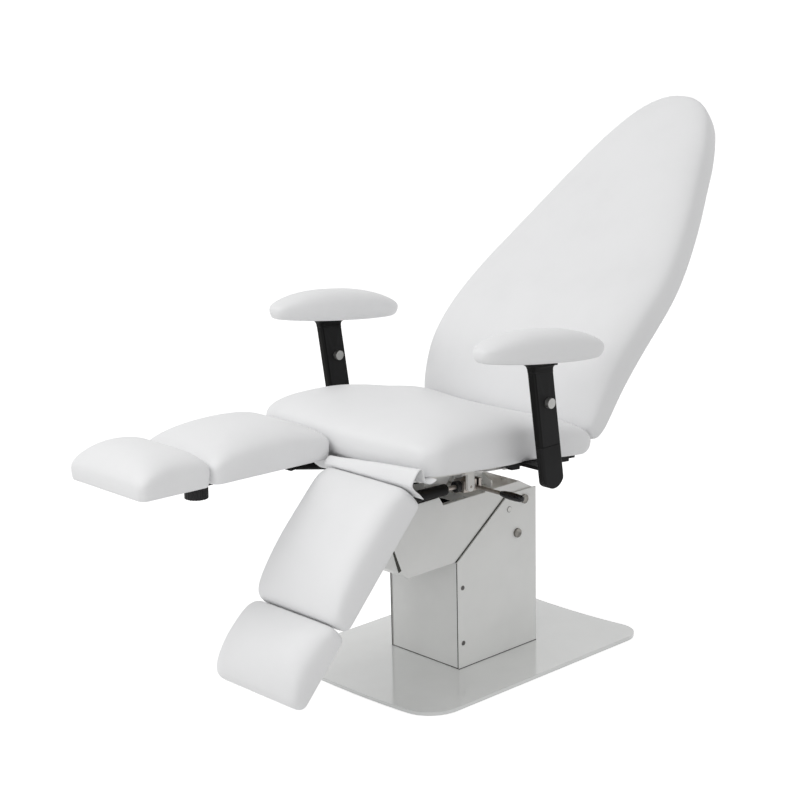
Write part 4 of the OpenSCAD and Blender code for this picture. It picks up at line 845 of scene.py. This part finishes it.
def flap(s, side):
    path = catmull([(y / 1000, z / 1000) for y, z in FOLDS[side]], FOLD_STEPS)
    along = np.gradient(path, axis=0)
    along /= np.linalg.norm(along, axis=1)[:, None]
    normal = np.c_[-along[:, 1], along[:, 0]]
    across = [(j / (FLAP_COLS - 1) - 0.5) * LEG_W for j in range(FLAP_COLS)]
    section = [(1, x) for x in across] + [(-1, x) for x in reversed(across)]
    rows, n = len(path), len(section)
    verts = []
    for i in range(rows):
        free = math.sin(math.pi * i / (rows - 1)) ** FLAP_FREE_POWER
        verts += [flap_point(s, path[i], normal[i], i, x, face, free) for face, x in section]
    faces = ring_faces(rows, n)
    for j in range(FLAP_COLS - 1):
        quad = (j, j + 1, n - 2 - j, n - 1 - j)
        faces.append(quad[::-1])
        faces.append(tuple((rows - 1) * n + i for i in quad))
    cover = vinyl_material(f"vinyl_{side}_flap", FLAP_SEED + s)
    ob = make_object(f"{side}_flap_vinyl", verts, faces, cover, None)
    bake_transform(ob)
    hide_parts(f"{side}_leg_flap")
    return ob


for s, side in SIDES:
    flap(s, side)

# Camera at the photograph's angle: lens and sensor in millimetres, roll in degrees
LENS = 87.075
SENSOR = 36.0
SHIFT = (-0.08, 0.1179)
CAMERA_AT = Vector((2.8468, -2.8169, 1.5883))
CAMERA_AIM = Vector((0, 0.006, 0.350))
CAMERA_ROLL = -0.78
CAMERA_REACH = 50

scene = bpy.context.scene
cam_data = bpy.data.cameras.new("camera")
cam_data.lens = LENS
cam_data.sensor_width = SENSOR
cam_data.sensor_fit = "HORIZONTAL"
cam_data.shift_x, cam_data.shift_y = SHIFT
cam_data.clip_end = CAMERA_REACH
camera = bpy.data.objects.new("camera", cam_data)
scene.collection.objects.link(camera)
facing = (CAMERA_AIM - CAMERA_AT).to_track_quat("-Z", "Y").to_matrix().to_4x4()
roll = Matrix.Rotation(math.radians(CAMERA_ROLL), 4, "Z")
camera.matrix_world = Matrix.Translation(CAMERA_AT) @ (facing @ roll)
scene.camera = camera

# Light: place, size and watts of the two lamps, the world, and the glow that whitens the floor for the camera
LAMP_AIM = (0, 0, 0.5)
KEY_AT, KEY_SIZE, KEY_WATTS = (-1.2, -2.6, 3.9), 2.8, 47
FILL_AT, FILL_SIZE, FILL_WATTS = (1.4, -3.8, 2.2), 2.4, 19
WORLD_LIGHT = 0.62
BACKGROUND = 1.0
FLOOR_GLOW = 0.64
FLOOR_HALF = 40.0
FLOOR_Z = -0.0005


def area_light(name, at, size, power):
    data = bpy.data.lights.new(name, "AREA")
    data.shape = "RECTANGLE"
    data.size, data.size_y = size, size
    data.energy = power
    ob = bpy.data.objects.new(name, data)
    scene.collection.objects.link(ob)
    ob.location = at
    ob.rotation_euler = (Vector(LAMP_AIM) - Vector(at)).to_track_quat("-Z", "Y").to_euler()
    return ob


def ray_is(nt, *kinds):
    """1 for a ray of one of these kinds, else 0."""
    path = node(nt, "ShaderNodeLightPath")
    out = path.outputs[kinds[0]]
    for kind in kinds[1:]:
        either = node(nt, "ShaderNodeMath", operation="MAXIMUM")
        nt.links.new(out, either.inputs[0])
        nt.links.new(path.outputs[kind], either.inputs[1])
        out = either.outputs["Value"]
    return out


area_light("key", KEY_AT, KEY_SIZE, KEY_WATTS)
area_light("fill", FILL_AT, FILL_SIZE, FILL_WATTS)

world = bpy.data.worlds.new("world")
scene.world = world
world.use_nodes = True
wt = world.node_tree
sky = wt.nodes["Background"]
sky.inputs["Color"].default_value = (1, 1, 1, 1)
seen = ray_is(wt, "Is Camera Ray", "Is Glossy Ray", "Is Transmission Ray")
wt.links.new(remap(wt, seen, WORLD_LIGHT, BACKGROUND), sky.inputs["Strength"])

corners = [(x * FLOOR_HALF, y * FLOOR_HALF, FLOOR_Z) for x, y in ((-1, -1), (1, -1), (1, 1), (-1, 1))]
floor_material, ft, floor_bsdf = new_material("floor", (0.8, 0.8, 0.8), 0.9, spec=0.0)
floor = make_object("floor", corners, [(0, 1, 2, 3)], floor_material, None, smooth=False)
floor_bsdf.inputs["Emission Color"].default_value = (1, 1, 1, 1)
seen = ray_is(ft, "Is Camera Ray", "Is Glossy Ray")
ft.links.new(remap(ft, seen, 0.0, FLOOR_GLOW), floor_bsdf.inputs["Emission Strength"])

scene.view_settings.view_transform = "Standard"
